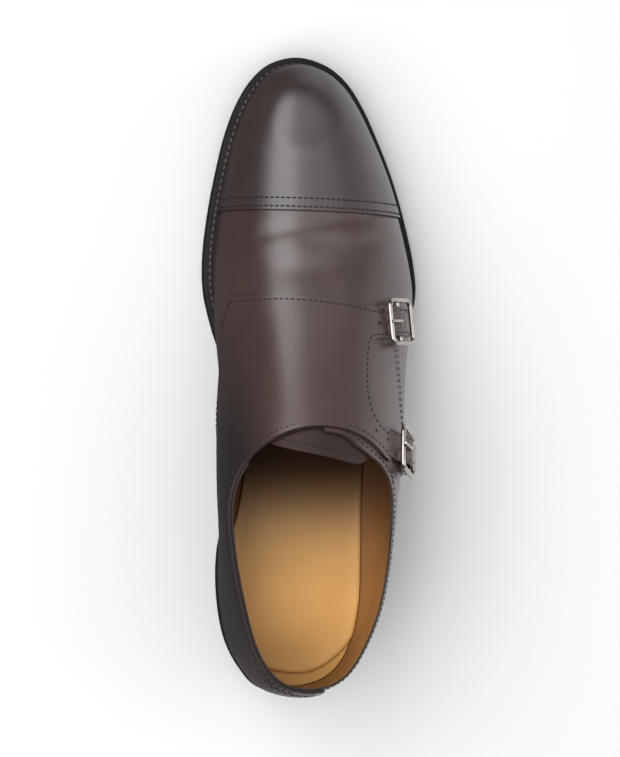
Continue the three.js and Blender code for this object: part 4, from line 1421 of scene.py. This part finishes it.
STOUT = {"length": 2.2, "width": 0.9, "height": 0.7}
FLAP_FRONT_ROW = [(-33, 184.3), (-27, 185.3), (-11, 186.2), (5, 185.3), (21, 183.3), (33, 181),
                  (40, 180.6)]
FLAP_SIDE_ROW = [(39, 170.3), (33.5, 170.2), (30.5, 168.5), (29.2, 164.5), (28.3, 158), (27.8, 150),
                 (27.8, 143), (29.4, 135), (33, 128.5), (37, 125)]


def cap_line(offset):
    stations = (-50, -30, -10, 10, 30, 50, 62)
    return [(x, CAP_EDGE + offset - (x - 2) * math.tan(CAP_TURN)) for x in stations]


row_from_above("cap_stitches_rear", cap_line(1.6), [cap], **STOUT)
row_from_above("cap_stitches_front", cap_line(5.6), [cap], **STOUT)
row_from_above("flap_front_stitches", FLAP_FRONT_ROW, [flap])
row_from_above("flap_side_stitches", FLAP_SIDE_ROW, [flap])
row_from_side("flap_seam_stitches", FLAP_SEAM[1:9] + (0, 2.2), [flap], -1)

# %% [markdown]
# The row along the collar follows the topline at an even distance. Instead of drawing it, each rib of
# the grid is searched for the place where it comes that far below the collar's line, and the places
# are put in order from one end of the row to the other.

# %% Rows along the collar
BELOW_COLLAR = 3.0


def collar_row(lift, keep):
    surface = lifted(grid, lift)
    heights = above_collar(surface) + BELOW_COLLAR
    places, directions = [], []
    for i in range(len(LOOP)):
        cross = np.where((heights[i, :-1] < 0) & (heights[i, 1:] >= 0))[0]
        if len(cross) == 0:
            continue
        j = cross[0]
        t = -heights[i, j] / (heights[i, j + 1] - heights[i, j])
        point = surface[i, j] * (1 - t) + surface[i, j + 1] * t
        if keep(point):
            places.append(point)
            directions.append(normals[i, j])
    return np.array(places), np.array(directions)


def chain(places, directions):
    gaps = np.linalg.norm(np.roll(places, -1, 0) - places, axis=1)
    k = int(np.argmax(gaps))
    return np.roll(places, -k - 1, 0), np.roll(directions, -k - 1, 0)


medial_top = chain(*collar_row(LIFT + OVERLAY, lambda p: p[0] < -9 or p[1] > 112))
lay_row("flap_collar_stitches", *medial_top)
lateral_top = chain(*collar_row(UPPER_WALL, lambda p: p[0] > 9 and p[1] < 108))
lay_row("quarter_collar_stitches", *lateral_top)

# %% [markdown]
# On the outer quarter two fine rows run side by side between the buckles, where two leathers meet
# under the straps. The tongue and the quarter's rising edge have a single row each.

# %% Rows on quarter and tongue
FINE = {"width": 0.5, "height": 0.4}
SEAM_ROW = np.array([(163, 53), (150, 53.5), (137, 55), (126, 57)])
SEAM_SPACING = (0, 2.4)
row_from_side("quarter_seam_one", SEAM_ROW, [upper], 1, **FINE)
row_from_side("quarter_seam_two", SEAM_ROW - SEAM_SPACING, [upper], 1, **FINE)
TONGUE_ROW = [(-24, 125.4), (-18, 123.2), (-10, 121), (4.5, 118.2), (15, 115.6), (21, 114.8)]
row_from_above("tongue_stitches", TONGUE_ROW, [tongue])
QUARTER_ROW = [(102.5, 79.8), (106.6, 81.9), (110.8, 84.7), (115.5, 88.5), (120, 91.2), (126.4, 93.5)]
row_from_side("quarter_edge_stitches", QUARTER_ROW, [upper], 1)

# %% [markdown]
# Along both edges of each strap end runs a row that follows the strap over the bar, so it walks down
# the wall as the strap did and sits on the strap's outer face.


# %% Strap stitches
def strap_row(name, buckle, across_at):
    fine = np.arange(-9.0, 12.1, 2.4)
    lift = np.interp(fine, STRAP_RUN[:, 0], STRAP_RUN[:, 1])
    places, directions = [], []
    for along_strap, rise in zip(fine, lift):
        point, normal = walk(buckle, along_strap)
        across = strap_axes(normal, buckle[2])[1]
        places.append(point + across * across_at + normal * (rise + OVERLAY))
        directions.append(normal)
    return stitch_row(name, to_world(places), directions, length=1.8)


STRAP_MARGIN = 1.7
for name, buckle in BUCKLES.items():
    strap_row(name + "_strap_stitches_lower", buckle, STRAP_MARGIN - STRAP_WIDTH / 2)
    strap_row(name + "_strap_stitches_upper", buckle, STRAP_WIDTH / 2 - STRAP_MARGIN)

# %% [markdown]
# Where a seam ends and is pulled hardest, the maker sews to and fro. The corner of the flap has such
# a bar tack, and the top of the heel has a zigzag across the back strip. Both are a line of spots
# that swing from side to side, dropped onto the leather one by one.


# %% Bar tack and zigzag
def swing_row(name, spots, pieces, aim, length):
    places, directions = [], []
    for spot in spots:
        found = drop_on(pieces, Vector(to_world(spot)), Vector(aim))
        if found:
            places.append(np.array(found[0]))
            directions.append(np.array(found[1]))
    return stitch_row(name, places, directions, length=length)


TACK_STITCHES, ZIGZAG_STITCHES = 14, 18
tack = []
for k in range(TACK_STITCHES):
    share = k / (TACK_STITCHES - 1)
    tack.append((-33.6 - 3.8 * share + 1.0 * (-1) ** k, 184.6 - 12.5 * share, ABOVE))
swing_row("corner_bar_tack", tack, [flap], (0, 0, -1), 2.2)
zigzag = [(-24 + 1.6 * k, BEHIND, 84.5 + 1.5 * (-1) ** k) for k in range(ZIGZAG_STITCHES)]
swing_row("back_zigzag", zigzag, [flap, strip, upper], (0, 1, 0), 2.4)

# %% [markdown]
# The welt is sewn to the sole with thick thread, a row of long pale stitches on the ledge that runs
# from one side of the heel round the toe to the other. The line is the sole's outline, drawn in.

# %% Welt stitches
WELT_ROW_INSET = 3.4
WELT_PITCH = 3.3
HEEL_CORNER = 75
point, out = edge(LOOP)
keep = point[:, 1] > HEEL_CORNER
inner = point - out * WELT_ROW_INSET
around = np.concatenate([inner, welt_top(inner[:, 1])[:, None]], -1)[keep]
upwards = np.tile((0.0, 0.0, 1.0), (len(around), 1))
lay_row("welt_stitches", around, upwards, WELT_PITCH, length=2.7, width=1.0, height=0.9,
        material=welt_thread, slot="sole_leather")

# %% [markdown]
# The last comes out of a finished shoe, and so does the form here.

# %% Finish
bpy.data.objects.remove(last_form)
